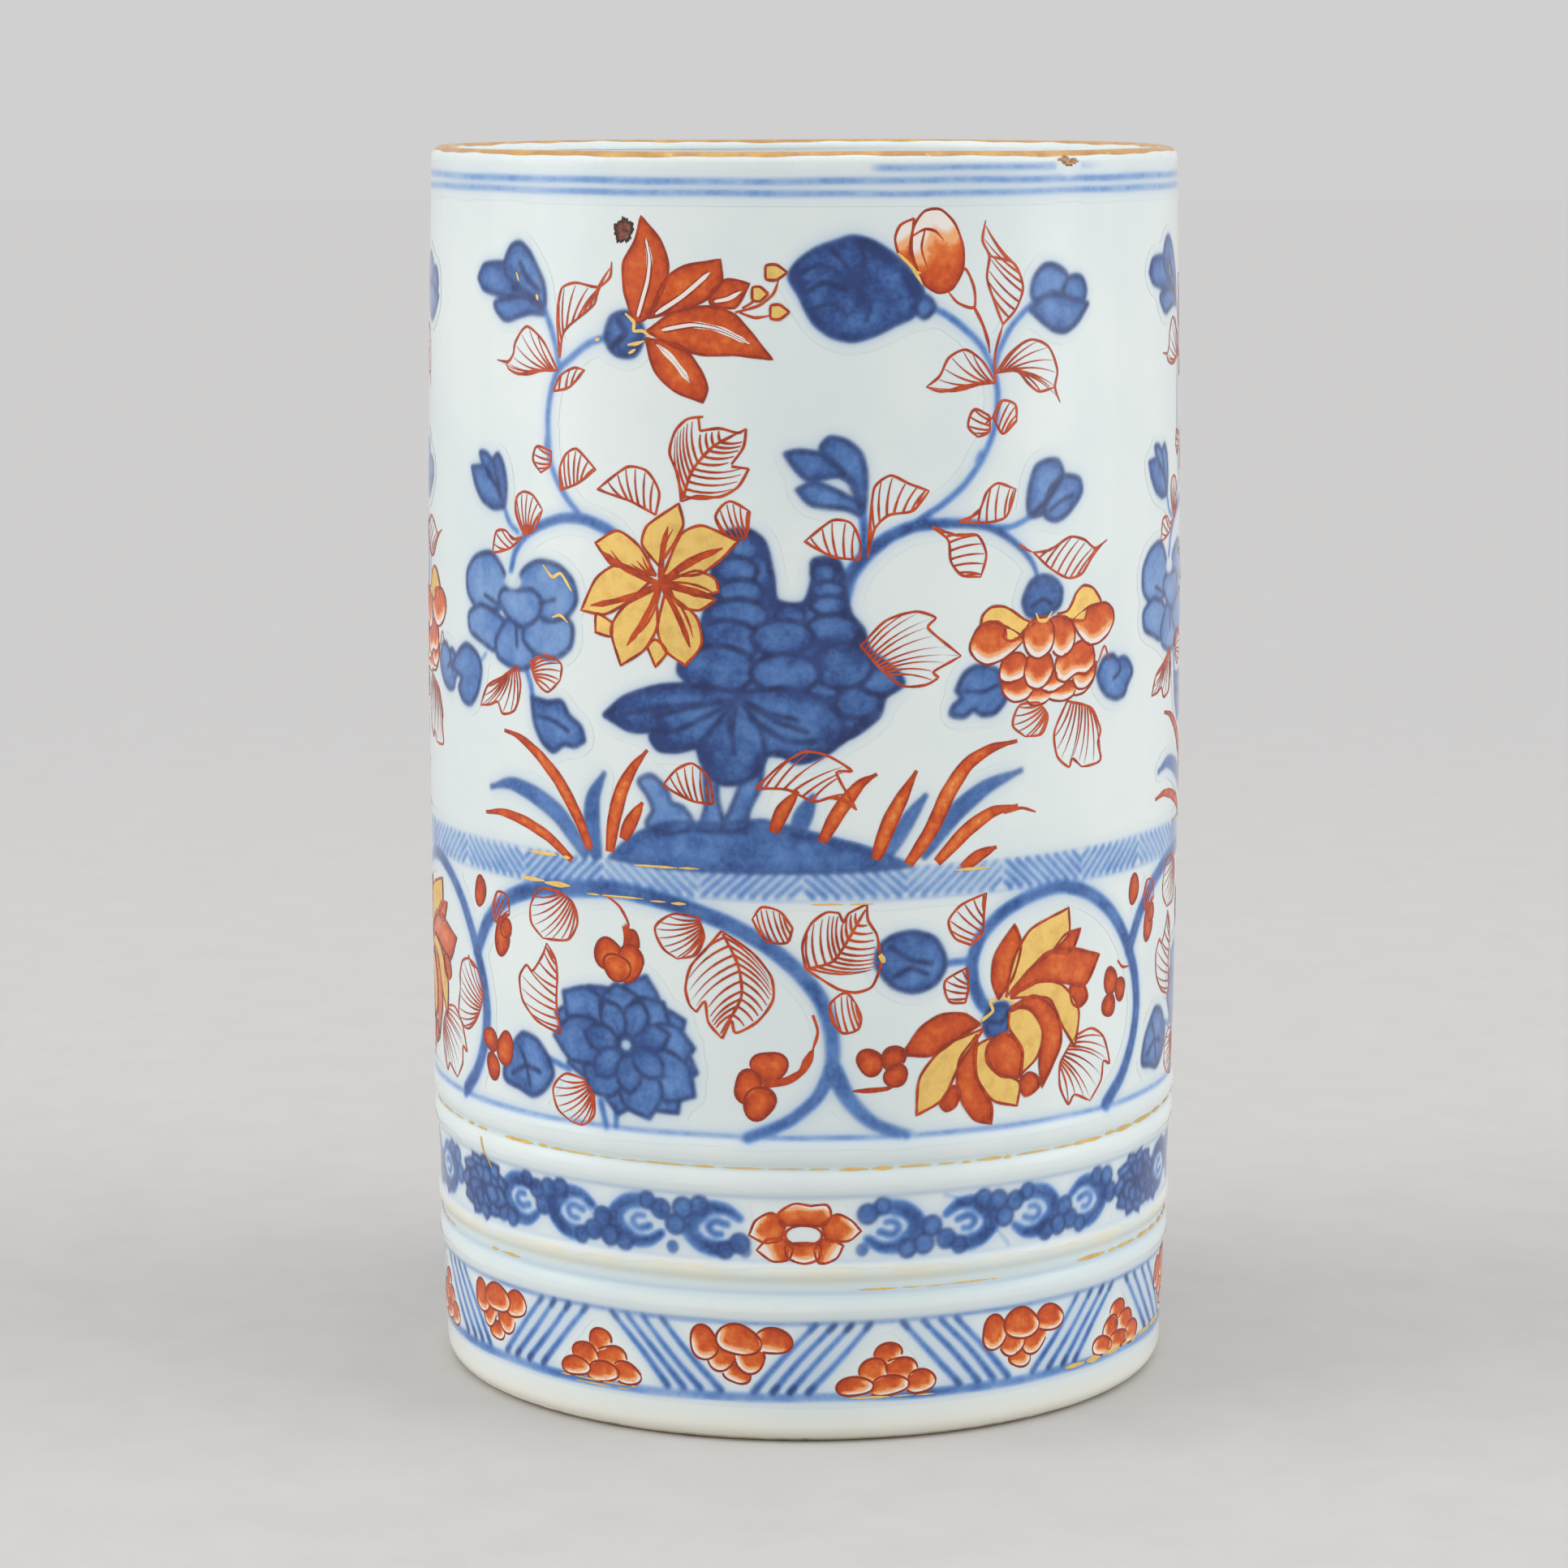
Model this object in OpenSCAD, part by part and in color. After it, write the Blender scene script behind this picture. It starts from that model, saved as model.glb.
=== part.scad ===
// Cylindrical porcelain brush holder pot: a thrown and turned clay wall, a luted floor slab and a turned
// foot ring, with the coats of glaze, the lip dressing and the painted rings that lie on them.
// Millimetres. The origin is the centre of the foot's resting plane, and +Z is the axis of the pot.

/* [Body] */
// Overall height, from the resting plane to the top of the lip
height = 186; // [178:1:194]
// Outside diameter just under the lip
rim_d = 112.2; // [110:0.1:114]
// Outside diameter at the fullest part of the wall
belly_d = 114.8; // [114:0.1:117]
// Height of the fullest part of the wall
belly_z = 108; // [95:1:120]
// Outside diameter where the plain wall meets the upper moulding
shoulder_d = 114; // [113:0.1:114]
// Outside diameter at the top of the foot's rounded edge
foot_d = 111.2; // [108:0.1:112]
// How sharply the wall draws in from the belly to the rim, 1 for a straight cone
rim_draw = 1.4; // [1:0.1:2]
// Thickness of the wall at the lip, glaze included
lip_t = 3.2; // [2.4:0.1:4]
// Thickness of the wall above the floor, glaze included
wall_t = 5; // [4.4:0.1:6]

/* [Mouldings] */
// Height where the upper moulding starts
upper_moulding_z = 36.8; // [36:0.1:38]
// Height where the lower moulding starts
lower_moulding_z = 18.2; // [17:0.1:19]
// How far the turned beads stand out from the wall
bead_proud = 0.45; // [0.2:0.05:0.8]

/* [Base] */
// Top of the floor inside the pot
floor_z = 11; // [9:0.5:14]
// Height of the recess under the floor
recess_z = 4; // [3:0.5:6]
// Radius of the recess under the floor
recess_r = 44.5; // [40:0.5:47]
// Radius of the foot's rounded outer edge
foot_edge_r = 2.8; // [2:0.1:3.5]
// Radius of the hollow corner between the floor and the wall
corner_r = 5; // [4:0.5:7]

/* [Coats] */
// Thickness of the glaze
glaze_t = 0.35; // [0.3:0.05:0.5]
// Height of the bare clay left above the resting plane
bare_z = 0.8; // [0.5:0.1:1.2]
// Thickness of the painted and gilt rings
paint_t = 0.1; // [0.08:0.01:0.15]

/* [Hidden] */
$fn = 160;

rim_r = rim_d / 2;
belly_r = belly_d / 2;
shoulder_r = shoulder_d / 2;
foot_r = foot_d / 2;

// Each bead is [bottom, top]. A moulding is a pair of beads with a groove between them.
bead_w = 4.2;
small_bead_w = 3.1;
upper_groove_w = 0.6;
lower_groove_w = 2;
upper_moulding_top = upper_moulding_z + 2 * bead_w + upper_groove_w;
lower_moulding_top = lower_moulding_z + bead_w + lower_groove_w + small_bead_w;
beads = [
    [lower_moulding_z, lower_moulding_z + bead_w],
    [lower_moulding_z + bead_w + lower_groove_w, lower_moulding_top],
    [upper_moulding_z, upper_moulding_z + bead_w],
    [upper_moulding_z + bead_w + upper_groove_w, upper_moulding_top],
];

// Heights and widths of the painted and gilt rings
upper_line_z = height - 4.1;
upper_line_w = 0.55;
lower_line_z = height - 5.9;
lower_line_w = 0.7;
foot_line_z = 7.2;
foot_line_w = 0.6;

// The lip is a half round on top of the wall
lip_r = lip_t / 2;
lip_z = height - lip_r;
lip_centre_r = rim_r - lip_r;
// Angles around the lip between which its dressing lies, 0 outwards and 180 inwards
dress_from = 22;
dress_to = 160;

// The foot's rounded outer edge
foot_centre_r = foot_r - foot_edge_r;
bare_angle = -asin((foot_edge_r - bare_z) / foot_edge_r);

inner_foot_r = shoulder_r - wall_t;
slab_r = inner_foot_r - corner_r;
arc_step = 10;

// Heights at which the outside is drawn: fine over the beads, coarse over the plain wall
bead_steps = 8;
wall_steps = 24;
moulding_zs = [for (b = beads) for (i = [0:bead_steps]) b[0] + (b[1] - b[0]) * i / bead_steps];
wall_zs = [for (i = [1:wall_steps]) upper_moulding_top + (lip_z - upper_moulding_top) * i / wall_steps];
outside_zs = concat([foot_edge_r], moulding_zs, wall_zs);

// Radius of the outside without its mouldings
function plain_r(z) =
    z <= upper_moulding_top
    ? foot_r + (shoulder_r - foot_r) * (z - foot_edge_r) / (upper_moulding_top - foot_edge_r)
    : z <= belly_z
    ? belly_r - (belly_r - shoulder_r) * pow((belly_z - z) / (belly_z - upper_moulding_top), 2)
    : belly_r - (belly_r - rim_r) * pow((z - belly_z) / (lip_z - belly_z), rim_draw);

// Height of one bead over the plain wall, a low arch
function arch(z, b) =
    z <= b[0] || z >= b[1] ? 0 : bead_proud * 4 * (z - b[0]) * (b[1] - z) / pow(b[1] - b[0], 2);

function bead_r(z) = max([for (b = beads) arch(z, b)]);
function outside_r(z) = plain_r(z) + bead_r(z);

function outside(inset) = [for (z = outside_zs) [outside_r(z) - inset, z]];
function back(points) = [for (i = [len(points) - 1:-1:0]) points[i]];

// Points of an arc about [r, z], from one angle to another, both included
function arc(r, z, radius, from, to) =
    let (n = ceil(abs(to - from) / arc_step))
    [for (i = [0:n]) let (a = from + (to - from) * i / n) [r + radius * cos(a), z + radius * sin(a)]];

// The hollow corner between the wall and the floor, drawn from the wall down and inwards
function corner(inset) = arc(slab_r, floor_z + corner_r, corner_r + inset, 0, -90);

module turned(points) {
    rotate_extrude() polygon(points);
}

// A thin ring on the outside, of width w and centred on height z
module painted_ring(z, w) {
    low = z - w / 2;
    high = z + w / 2;
    turned([
        [outside_r(low), low],
        [outside_r(low) + paint_t, low],
        [outside_r(high) + paint_t, high],
        [outside_r(high), high],
    ]);
}

module clay_wall() {
    color("seashell") turned(concat(
        [[slab_r, recess_z], [plain_r(recess_z) - glaze_t, recess_z]],
        [for (p = outside(glaze_t)) if (p[1] > recess_z) p],
        arc(lip_centre_r, lip_z, lip_r - glaze_t, arc_step, 180),
        corner(glaze_t)));
}

module floor_slab() {
    color("linen") translate([0, 0, recess_z]) cylinder(r = slab_r, h = floor_z - glaze_t - recess_z);
}

module foot_ring() {
    clay_edge = foot_edge_r - glaze_t;
    color("antiquewhite") turned(concat(
        [[recess_r, recess_z], [recess_r + 1.5, 0]],
        arc(foot_centre_r, foot_edge_r, foot_edge_r, -90, bare_angle),
        arc(foot_centre_r, foot_edge_r, clay_edge, bare_angle, 0),
        [[plain_r(recess_z) - glaze_t, recess_z]]));
}

module outer_glaze() {
    clay_edge = foot_edge_r - glaze_t;
    color("azure") turned(concat(
        arc(foot_centre_r, foot_edge_r, foot_edge_r, bare_angle, -arc_step),
        outside(0),
        arc(lip_centre_r, lip_z, lip_r, arc_step, dress_from),
        arc(lip_centre_r, lip_z, lip_r - glaze_t, dress_from, arc_step),
        back(outside(glaze_t)),
        arc(foot_centre_r, foot_edge_r, clay_edge, -arc_step, bare_angle)));
}

module inner_glaze() {
    color("mintcream") turned(concat(
        corner(0),
        [[0, floor_z], [0, floor_z - glaze_t]],
        back(corner(glaze_t)),
        arc(lip_centre_r, lip_z, lip_r - glaze_t, 180, dress_to),
        arc(lip_centre_r, lip_z, lip_r, dress_to, 180)));
}

module base_glaze() {
    color("azure") translate([0, 0, recess_z - glaze_t]) cylinder(r = recess_r, h = glaze_t);
}

module lip_dressing() {
    color("darkgoldenrod") turned(concat(
        arc(lip_centre_r, lip_z, lip_r, dress_from, dress_to),
        arc(lip_centre_r, lip_z, lip_r - glaze_t, dress_to, dress_from)));
}

module rim_line_upper() {
    color("cornflowerblue") painted_ring(upper_line_z, upper_line_w);
}

module rim_line_lower() {
    color("cornflowerblue") painted_ring(lower_line_z, lower_line_w);
}

module upper_gilt_ring() {
    color("goldenrod") painted_ring(upper_moulding_z + bead_w + upper_groove_w / 2, upper_groove_w);
}

module lower_gilt_ring() {
    color("goldenrod") painted_ring(lower_moulding_z + bead_w + lower_groove_w / 4, lower_groove_w / 3);
}

module foot_gilt_ring() {
    color("goldenrod") painted_ring(foot_line_z, foot_line_w);
}

clay_wall();
floor_slab();
foot_ring();
outer_glaze();
inner_glaze();
base_glaze();
lip_dressing();
rim_line_upper();
rim_line_lower();
upper_gilt_ring();
lower_gilt_ring();
foot_gilt_ring();
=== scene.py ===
import math

import bpy
import numpy as np
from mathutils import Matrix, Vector
from mathutils.geometry import delaunay_2d_cdt


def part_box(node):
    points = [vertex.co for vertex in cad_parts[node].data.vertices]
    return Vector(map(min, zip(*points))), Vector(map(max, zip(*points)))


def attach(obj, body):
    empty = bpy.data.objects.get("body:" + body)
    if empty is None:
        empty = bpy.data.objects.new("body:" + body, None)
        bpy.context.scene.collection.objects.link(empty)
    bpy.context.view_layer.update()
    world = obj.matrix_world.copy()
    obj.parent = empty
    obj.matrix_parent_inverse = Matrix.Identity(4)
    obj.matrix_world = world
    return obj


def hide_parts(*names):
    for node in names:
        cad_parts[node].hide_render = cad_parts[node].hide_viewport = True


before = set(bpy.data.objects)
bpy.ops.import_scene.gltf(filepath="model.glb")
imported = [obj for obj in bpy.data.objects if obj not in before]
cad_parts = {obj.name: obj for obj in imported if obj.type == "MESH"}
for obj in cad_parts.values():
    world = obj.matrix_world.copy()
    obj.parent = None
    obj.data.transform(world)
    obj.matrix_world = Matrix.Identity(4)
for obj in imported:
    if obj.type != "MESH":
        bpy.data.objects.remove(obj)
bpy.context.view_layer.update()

# A painted porcelain brush pot. Drawings use (a, z): a is the angle round the pot in degrees, 0 at the
# front and growing to the right, and z is the height in mm. At this radius a degree is about a mm, so
# a motif drawn in (a, z) keeps its shape on the wall.

MM = 0.001
COBALT_LIFT = 0.03   # how far each kind of paint stands off the glaze, in mm
RED_LIFT = 0.05
GOLD_LIFT = 0.075
SECTOR = 120         # the garden and the vines repeat three times round the pot
TURNS = (0, -1, 1)
PROFILE_STEP = 0.1   # mm between the heights at which the wall's radius is kept
PLAIN_WALL = (48.5, 181)   # between the upper moulding and the lip the wall is plain
FOOT_EDGE = 3.4      # below this height the section is kept as it is
FINE_BLUR = 0.18     # how far the section is softened on the mouldings and on the plain wall, in mm
BROAD_BLUR = 1.6
LOOP_STEP = 6.0      # mm between the rows of a turned coat
LINE_TONE = 0.8      # how strong a thin red line is
LEAF_LINE = 0.38     # the width of a leaf's outline
RIB_LEAN = 0.2       # how much further along the leaf a rib's far end is
PALE = -0.9          # the red's body where it is nearly white


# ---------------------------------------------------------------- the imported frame's sections

def section(node):
    """The half section of a turned CAD node as an ordered list of (radius, height) in mm."""
    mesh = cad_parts[node].data
    spots = {i: (round(v.co.x / MM, 3), round(v.co.z / MM, 3)) for i, v in enumerate(mesh.vertices)
             if abs(v.co.y) < 1e-6 and v.co.x > 1e-6}
    links = {spot: set() for spot in spots.values()}
    for edge in mesh.edges:
        one, two = (spots.get(i) for i in edge.vertices)
        if one and two and one != two:
            links[one].add(two)
            links[two].add(one)
    ends = sorted(spot for spot in links if len(links[spot]) == 1)
    order = [ends[0] if ends else min(links)]
    while True:
        onward = sorted(links[order[-1]] - set(order))
        if not onward:
            return order
        order.append(onward[0])


def outside_profile():
    """Heights at small steps up the outside wall, and the glaze's radius at each."""
    loop = section("outer_glaze")
    heights = np.arange(min(z for r, z in loop), max(z for r, z in loop), PROFILE_STEP)
    radii = np.zeros(len(heights))
    closed = loop + loop[:1]
    for (r0, z0), (r1, z1) in zip(closed[:-1], closed[1:]):
        low, high = min(z0, z1), max(z0, z1)
        if high - low < 1e-6:
            continue
        spot = (heights >= low - 1e-6) & (heights <= high + 1e-6)
        found = r0 + (heights[spot] - z0) * (r1 - r0) / (z1 - z0)
        radii[spot] = np.maximum(radii[spot], found)
    return heights, soften(heights, radii)


def soften(heights, radii):
    """Round off the section's short straight steps, gently on the mouldings and ends."""
    def blur(reach):
        span = int(reach / PROFILE_STEP * 3)
        kernel = np.exp(-0.5 * (np.arange(-span, span + 1) * PROFILE_STEP / reach) ** 2)
        wide = np.pad(radii, span, mode="reflect", reflect_type="odd")
        return np.convolve(wide, kernel / kernel.sum(), mode="valid")
    plain = np.clip((heights - PLAIN_WALL[0]) / 4, 0, 1) * np.clip((PLAIN_WALL[1] - heights) / 3, 0, 1)
    above_foot = np.clip((heights - FOOT_EDGE) / 1.0, 0, 1)
    fine = radii * (1 - above_foot) + blur(FINE_BLUR) * above_foot
    return fine * (1 - plain) + blur(BROAD_BLUR) * plain


WALL_Z, WALL_R = outside_profile()
LIP_Z = float(WALL_Z[-1])


def unevenness(a, z):
    """The slow waver a hand-thrown wall has, in mm."""
    turn = np.radians(a)
    return (0.045 * np.sin(2 * turn + 0.6 + z * 0.017) + 0.03 * np.sin(3 * turn - z * 0.031)
            + 0.02 * np.sin(5 * turn + 2.1 + z * 0.052) + 0.012 * np.sin(z * 0.21 + 1.3 * np.sin(turn)))


def on_wall(a, z, lift=0.0):
    """Points in metres on the outside of the pot at (a, z), raised by lift mm."""
    a = np.asarray(a, dtype=float)
    z = np.asarray(z, dtype=float)
    radius = (np.interp(z, WALL_Z, WALL_R) + unevenness(a, z) + lift) * MM
    turn = np.radians(a)
    return np.stack([radius * np.sin(turn), -radius * np.cos(turn), z * MM + 0 * turn], axis=-1)


# ---------------------------------------------------------------- materials

def srgb(red, green, blue):
    """A colour given as 0-255 screen values, as the linear colour that shaders use."""
    def straight(value):
        value /= 255
        return value / 12.92 if value <= 0.04045 else ((value + 0.055) / 1.055) ** 2.4
    return (straight(red), straight(green), straight(blue), 1.0)


class Nodes:
    """A short way to write a material's nodes."""

    def __init__(self, name):
        self.material = bpy.data.materials.new(name)
        self.material.use_nodes = True
        self.tree = self.material.node_tree
        self.shader = self.tree.nodes["Principled BSDF"]

    def add(self, kind, inputs=None, **settings):
        node = self.tree.nodes.new(kind)
        for key, value in settings.items():
            setattr(node, key, value)
        for key, value in (inputs or {}).items():
            self.put(node.inputs[key], value)
        return node

    def put(self, socket, value):
        if isinstance(value, bpy.types.NodeSocket):
            self.tree.links.new(value, socket)
        else:
            socket.default_value = value

    def place(self, scale=(1, 1, 1)):
        coords = self.add("ShaderNodeTexCoord").outputs["Object"]
        return self.add("ShaderNodeMapping", {"Vector": coords, "Scale": scale}).outputs["Vector"]

    def noise(self, size, detail=3.0, rough=0.5, stretch=(1, 1, 1)):
        """Noise whose features are about size mm across."""
        scale = 1 / (size * MM)
        return self.add("ShaderNodeTexNoise", {"Vector": self.place(stretch), "Scale": scale,
                                               "Detail": detail, "Roughness": rough}).outputs["Fac"]

    def attribute(self, name):
        return self.add("ShaderNodeAttribute", attribute_name=name).outputs["Fac"]

    def height(self):
        """The height above the foot, in metres."""
        coords = self.add("ShaderNodeTexCoord").outputs["Object"]
        return self.add("ShaderNodeSeparateXYZ", {"Vector": coords}).outputs["Z"]

    def math(self, operation, one, two=0.0, clamp=False):
        node = self.add("ShaderNodeMath", operation=operation, use_clamp=clamp)
        for socket, value in zip(node.inputs, (one, two)):
            self.put(socket, value)
        return node.outputs[0]

    def span(self, value, low, high, to_low=0.0, to_high=1.0, smooth=True):
        kind = "SMOOTHSTEP" if smooth else "LINEAR"
        return self.add("ShaderNodeMapRange", {"Value": value, "From Min": low, "From Max": high,
                                               "To Min": to_low, "To Max": to_high},
                        interpolation_type=kind).outputs["Result"]

    def mix(self, share, one, two):
        node = self.add("ShaderNodeMix", data_type="RGBA", clamp_factor=True)
        self.put(node.inputs[0], share)
        self.put(node.inputs[6], one)
        self.put(node.inputs[7], two)
        return node.outputs[2]

    def ramp(self, value, stops):
        """The colour that a value picks from a row of (position, colour) stops, lowest first."""
        ramp = self.add("ShaderNodeValToRGB", {"Fac": value})
        elements = ramp.color_ramp.elements
        for element, (position, colour) in zip(elements, (stops[0], stops[-1])):
            element.position = position
            element.color = colour
        for position, colour in stops[1:-1]:
            elements.new(position).color = colour
        return ramp.outputs["Color"]

    def bump(self, height, depth, strength=1.0):
        return self.add("ShaderNodeBump", {"Height": height, "Distance": depth * MM,
                                           "Strength": strength}).outputs["Normal"]

    def finish(self, colour, roughness, normal=None, **fixed):
        self.put(self.shader.inputs["Base Color"], colour)
        self.put(self.shader.inputs["Roughness"], roughness)
        if normal is not None:
            self.put(self.shader.inputs["Normal"], normal)
        for key, value in fixed.items():
            self.shader.inputs[key.replace("_", " ")].default_value = value
        return self.material


GLAZE_PALE = srgb(219, 227, 226)
GLAZE_BLUE = srgb(211, 221, 222)
# the grooves' colour: painted shade over glaze pooled bluer
GLAZE_SHADE_AND_POOL = srgb(196, 214, 218)
GLAZE_STAINED = srgb(226, 214, 178)
GLAZE_CREAM = srgb(226, 222, 206)
SPECK_BROWN = srgb(120, 96, 70)
GLAZE_IOR = 1.5
# Grooves painted darker and bluer, partly as painted shade and partly as glaze pooled in them: height and
# half width in metres, strength.
GROOVE_SHADE_AND_POOL = ((0.0415, 0.0004, 0.6), (0.0233, 0.0013, 0.55), (0.0463, 0.0005, 0.35))
STAIN_HEIGHT = 0.0257   # the stained line above the lower moulding, in metres


def glaze_colour(n):
    """The blue-white glaze: cloudy, painted darker and bluer in the grooves as shade and pooled glaze, with
    sparse iron specks.
    """
    cloud = n.span(n.noise(34, 3.0, 0.55), 0.35, 0.7)
    colour = n.mix(cloud, GLAZE_PALE, GLAZE_BLUE)
    height = n.height()
    # painted shade and pooled glaze: each groove is painted darker and bluer
    for groove, half, strength in GROOVE_SHADE_AND_POOL:
        away = n.math("ABSOLUTE", n.math("SUBTRACT", height, groove))
        colour = n.mix(n.span(away, half, half * 2.2, strength, 0.0), colour, GLAZE_SHADE_AND_POOL)
    away = n.math("ABSOLUTE", n.math("SUBTRACT", height, STAIN_HEIGHT))
    stain = n.math("MULTIPLY", n.span(n.noise(12, 4.0, 0.6), 0.38, 0.62, 0.2, 1.0),
                   n.span(away, 0.0006, 0.0022, 0.45, 0.0))
    colour = n.mix(stain, colour, GLAZE_STAINED)
    low_cream = n.span(height, 0.0010, 0.0065, 0.75, 0.0)
    colour = n.mix(low_cream, colour, GLAZE_CREAM)
    cells = n.add("ShaderNodeTexVoronoi", {"Vector": n.place(), "Scale": 1 / (9 * MM)})
    chance = n.add("ShaderNodeSeparateColor", {"Color": cells.outputs["Color"]}).outputs["Red"]
    dot = n.math("MULTIPLY", n.span(cells.outputs["Distance"], 0.012, 0.035, 1.0, 0.0),
                 n.span(chance, 0.86, 0.88, 0.0, 0.8))
    return n.mix(dot, colour, SPECK_BROWN)


def glaze_normal(n):
    """A very slight ripple, as thick glaze has, and the odd pinhole."""
    ripple = n.bump(n.noise(5.5, 2.0, 0.4), 0.03, 0.5)
    pits = n.add("ShaderNodeTexVoronoi", {"Vector": n.place(), "Scale": 1 / (6 * MM)})
    hollow = n.span(pits.outputs["Distance"], 0.0, 0.03, 0.0, 1.0)
    return n.add("ShaderNodeBump", {"Height": hollow, "Distance": 0.02 * MM, "Strength": 0.35,
                                    "Normal": ripple}).outputs["Normal"]


def glaze_roughness(n):
    return n.span(n.noise(16, 4.0, 0.6), 0.3, 0.75, 0.07, 0.16)


def with_chips(n, colour, rough, pale, dark):
    """A colour and a roughness with the bare, grimy clay of the chips added."""
    chip = n.attribute("chip")
    biscuit = n.mix(n.span(n.noise(0.9), 0.35, 0.65), pale, dark)
    return (n.mix(n.span(chip, 0.03, 0.14), colour, biscuit),
            n.math("MAXIMUM", rough, n.math("MULTIPLY", chip, 0.7)))


def outer_glaze_material():
    n = Nodes("blue_white_glaze")
    colour, rough = with_chips(n, glaze_colour(n), glaze_roughness(n),
                               srgb(186, 146, 100), srgb(132, 96, 62))
    return n.finish(colour, rough, glaze_normal(n), IOR=GLAZE_IOR)


def inner_glaze_material():
    """The inside: a thinner, greyer glaze, darker towards the floor."""
    n = Nodes("inside_glaze")
    colour = n.mix(n.span(n.noise(24, 4.0, 0.6), 0.35, 0.7), srgb(226, 230, 226), srgb(208, 216, 214))
    runs = n.noise(6, 3.0, 0.6, (1, 1, 0.12))
    colour = n.mix(n.span(runs, 0.58, 0.72, 0.0, 0.35), colour, srgb(196, 190, 174))
    # darker towards the inside floor
    low_darkening = n.math("MULTIPLY", n.span(n.height(), 0.012, 0.05, 0.55, 0.0),
                  n.span(n.noise(7, 4.0, 0.6), 0.35, 0.7))
    colour = n.mix(low_darkening, colour, srgb(168, 160, 142))
    rough = n.span(n.noise(10, 4.0, 0.6), 0.3, 0.75, 0.12, 0.26)
    return n.finish(colour, rough, glaze_normal(n), IOR=GLAZE_IOR)


def clay_material(name, pale, dark):
    """Fired, unglazed porcelain: fine grain, with rubbed-in grime."""
    n = Nodes(name)
    colour = n.mix(n.span(n.noise(3.0, 5.0, 0.65), 0.35, 0.7), pale, dark)
    grime = n.span(n.noise(8, 4.0, 0.7), 0.56, 0.7, 0.0, 0.5)
    colour = n.mix(grime, colour, srgb(112, 92, 70))
    return n.finish(colour, n.span(n.noise(1.0), 0.3, 0.7, 0.62, 0.8), n.bump(n.noise(0.5, 4.0), 0.06))


def lip_material():
    """The lip: ochre-brown dressing worn thin in places, glaze below it, clay in the chips."""
    n = Nodes("ochre_lip")
    worn = n.span(n.noise(5, 5.0, 0.65), 0.3, 0.62)
    ochre = n.mix(worn, srgb(208, 162, 92), srgb(184, 134, 74))
    ochre = n.mix(n.span(n.noise(1.4, 4.0, 0.7), 0.6, 0.72, 0.0, 0.7), ochre, srgb(222, 204, 164))
    colour = n.mix(n.span(n.attribute("dressing"), 0.35, 0.65), glaze_colour(n), ochre)
    rough = n.span(n.noise(3, 4.0), 0.3, 0.7, 0.14, 0.3)
    colour, rough = with_chips(n, colour, rough, srgb(198, 156, 106), srgb(140, 100, 64))
    return n.finish(colour, rough, n.bump(n.noise(1.2, 3.0), 0.03), IOR=GLAZE_IOR)


def cobalt_material():
    """Underglaze blue: the wash pools and thins, and the drawn lines are nearly navy."""
    n = Nodes("cobalt_blue")
    wash = n.attribute("wash")
    ink = n.attribute("ink")
    pooling = n.span(n.noise(5.5, 4.0, 0.6), 0.3, 0.72, -0.11, 0.09)
    grain = n.span(n.noise(0.8, 3.0, 0.6), 0.3, 0.7, -0.03, 0.03)
    drift = n.math("MULTIPLY", n.math("ADD", pooling, grain), n.span(wash, 0.0, 0.35))
    depth = n.math("ADD", wash, drift, clamp=True)
    blue = n.ramp(depth, (
        (0.3, srgb(160, 184, 214)), (0.5, srgb(122, 156, 203)), (0.7, srgb(87, 127, 186)),
        (0.85, srgb(60, 98, 158)), (0.93, srgb(42, 74, 134)), (1.0, srgb(30, 54, 108))))
    colour = n.mix(n.span(wash, 0.0, 0.34, smooth=False), glaze_colour(n), blue)
    broken = n.math("MULTIPLY", ink, n.span(n.noise(1.6, 3.0, 0.6), 0.25, 0.6, 0.8, 1.0))
    line = n.mix(n.span(n.noise(3, 3.0), 0.35, 0.65), srgb(22, 38, 86), srgb(38, 60, 116))
    colour = n.mix(broken, colour, line)
    return n.finish(colour, glaze_roughness(n), glaze_normal(n), IOR=GLAZE_IOR)


def iron_red_material():
    """Overglaze iron red: thin enamel, brushed in streaks, deeper where it gathers at an edge.

    A body below 0 is where the enamel was left off or wiped nearly white."""
    n = Nodes("iron_red_enamel")
    body = n.attribute("body")
    brushed = n.math("ADD", body, n.span(n.noise(1.1, 4.0, 0.65), 0.25, 0.75, -0.16, 0.16))
    brushed = n.math("ADD", brushed, n.span(n.noise(4.0, 2.0), 0.3, 0.7, -0.12, 0.12))
    red = n.ramp(brushed, (
        (0.0, srgb(233, 167, 114)), (0.28, srgb(217, 114, 44)), (0.55, srgb(200, 80, 19)),
        (0.8, srgb(178, 60, 12)), (1.0, srgb(143, 42, 8))))
    colour = n.mix(n.span(body, -0.75, -0.2, 1.0, 0.0), red, srgb(228, 222, 216))
    return n.finish(colour, n.span(n.noise(1.5, 4.0), 0.3, 0.7, 0.2, 0.36),
                    n.bump(n.noise(0.6, 3.0), 0.02), IOR=GLAZE_IOR)


def gilding_material():
    """Gilding, rubbed thin: warm gold that dulls to brown where it has worn."""
    n = Nodes("worn_gilding")
    rubbed = n.span(n.noise(2.2, 5.0, 0.65), 0.42, 0.68)
    colour = n.mix(rubbed, srgb(240, 202, 116), srgb(226, 184, 102))
    colour = n.mix(n.span(n.noise(0.7, 3.0, 0.7), 0.6, 0.72, 0.0, 0.6), colour, srgb(250, 222, 150))
    return n.finish(colour, n.span(n.noise(1.2, 4.0), 0.3, 0.7, 0.3, 0.48),
                    n.bump(n.noise(0.5, 3.0), 0.02), Metallic=0.55)


# ---------------------------------------------------------------- meshes

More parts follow.
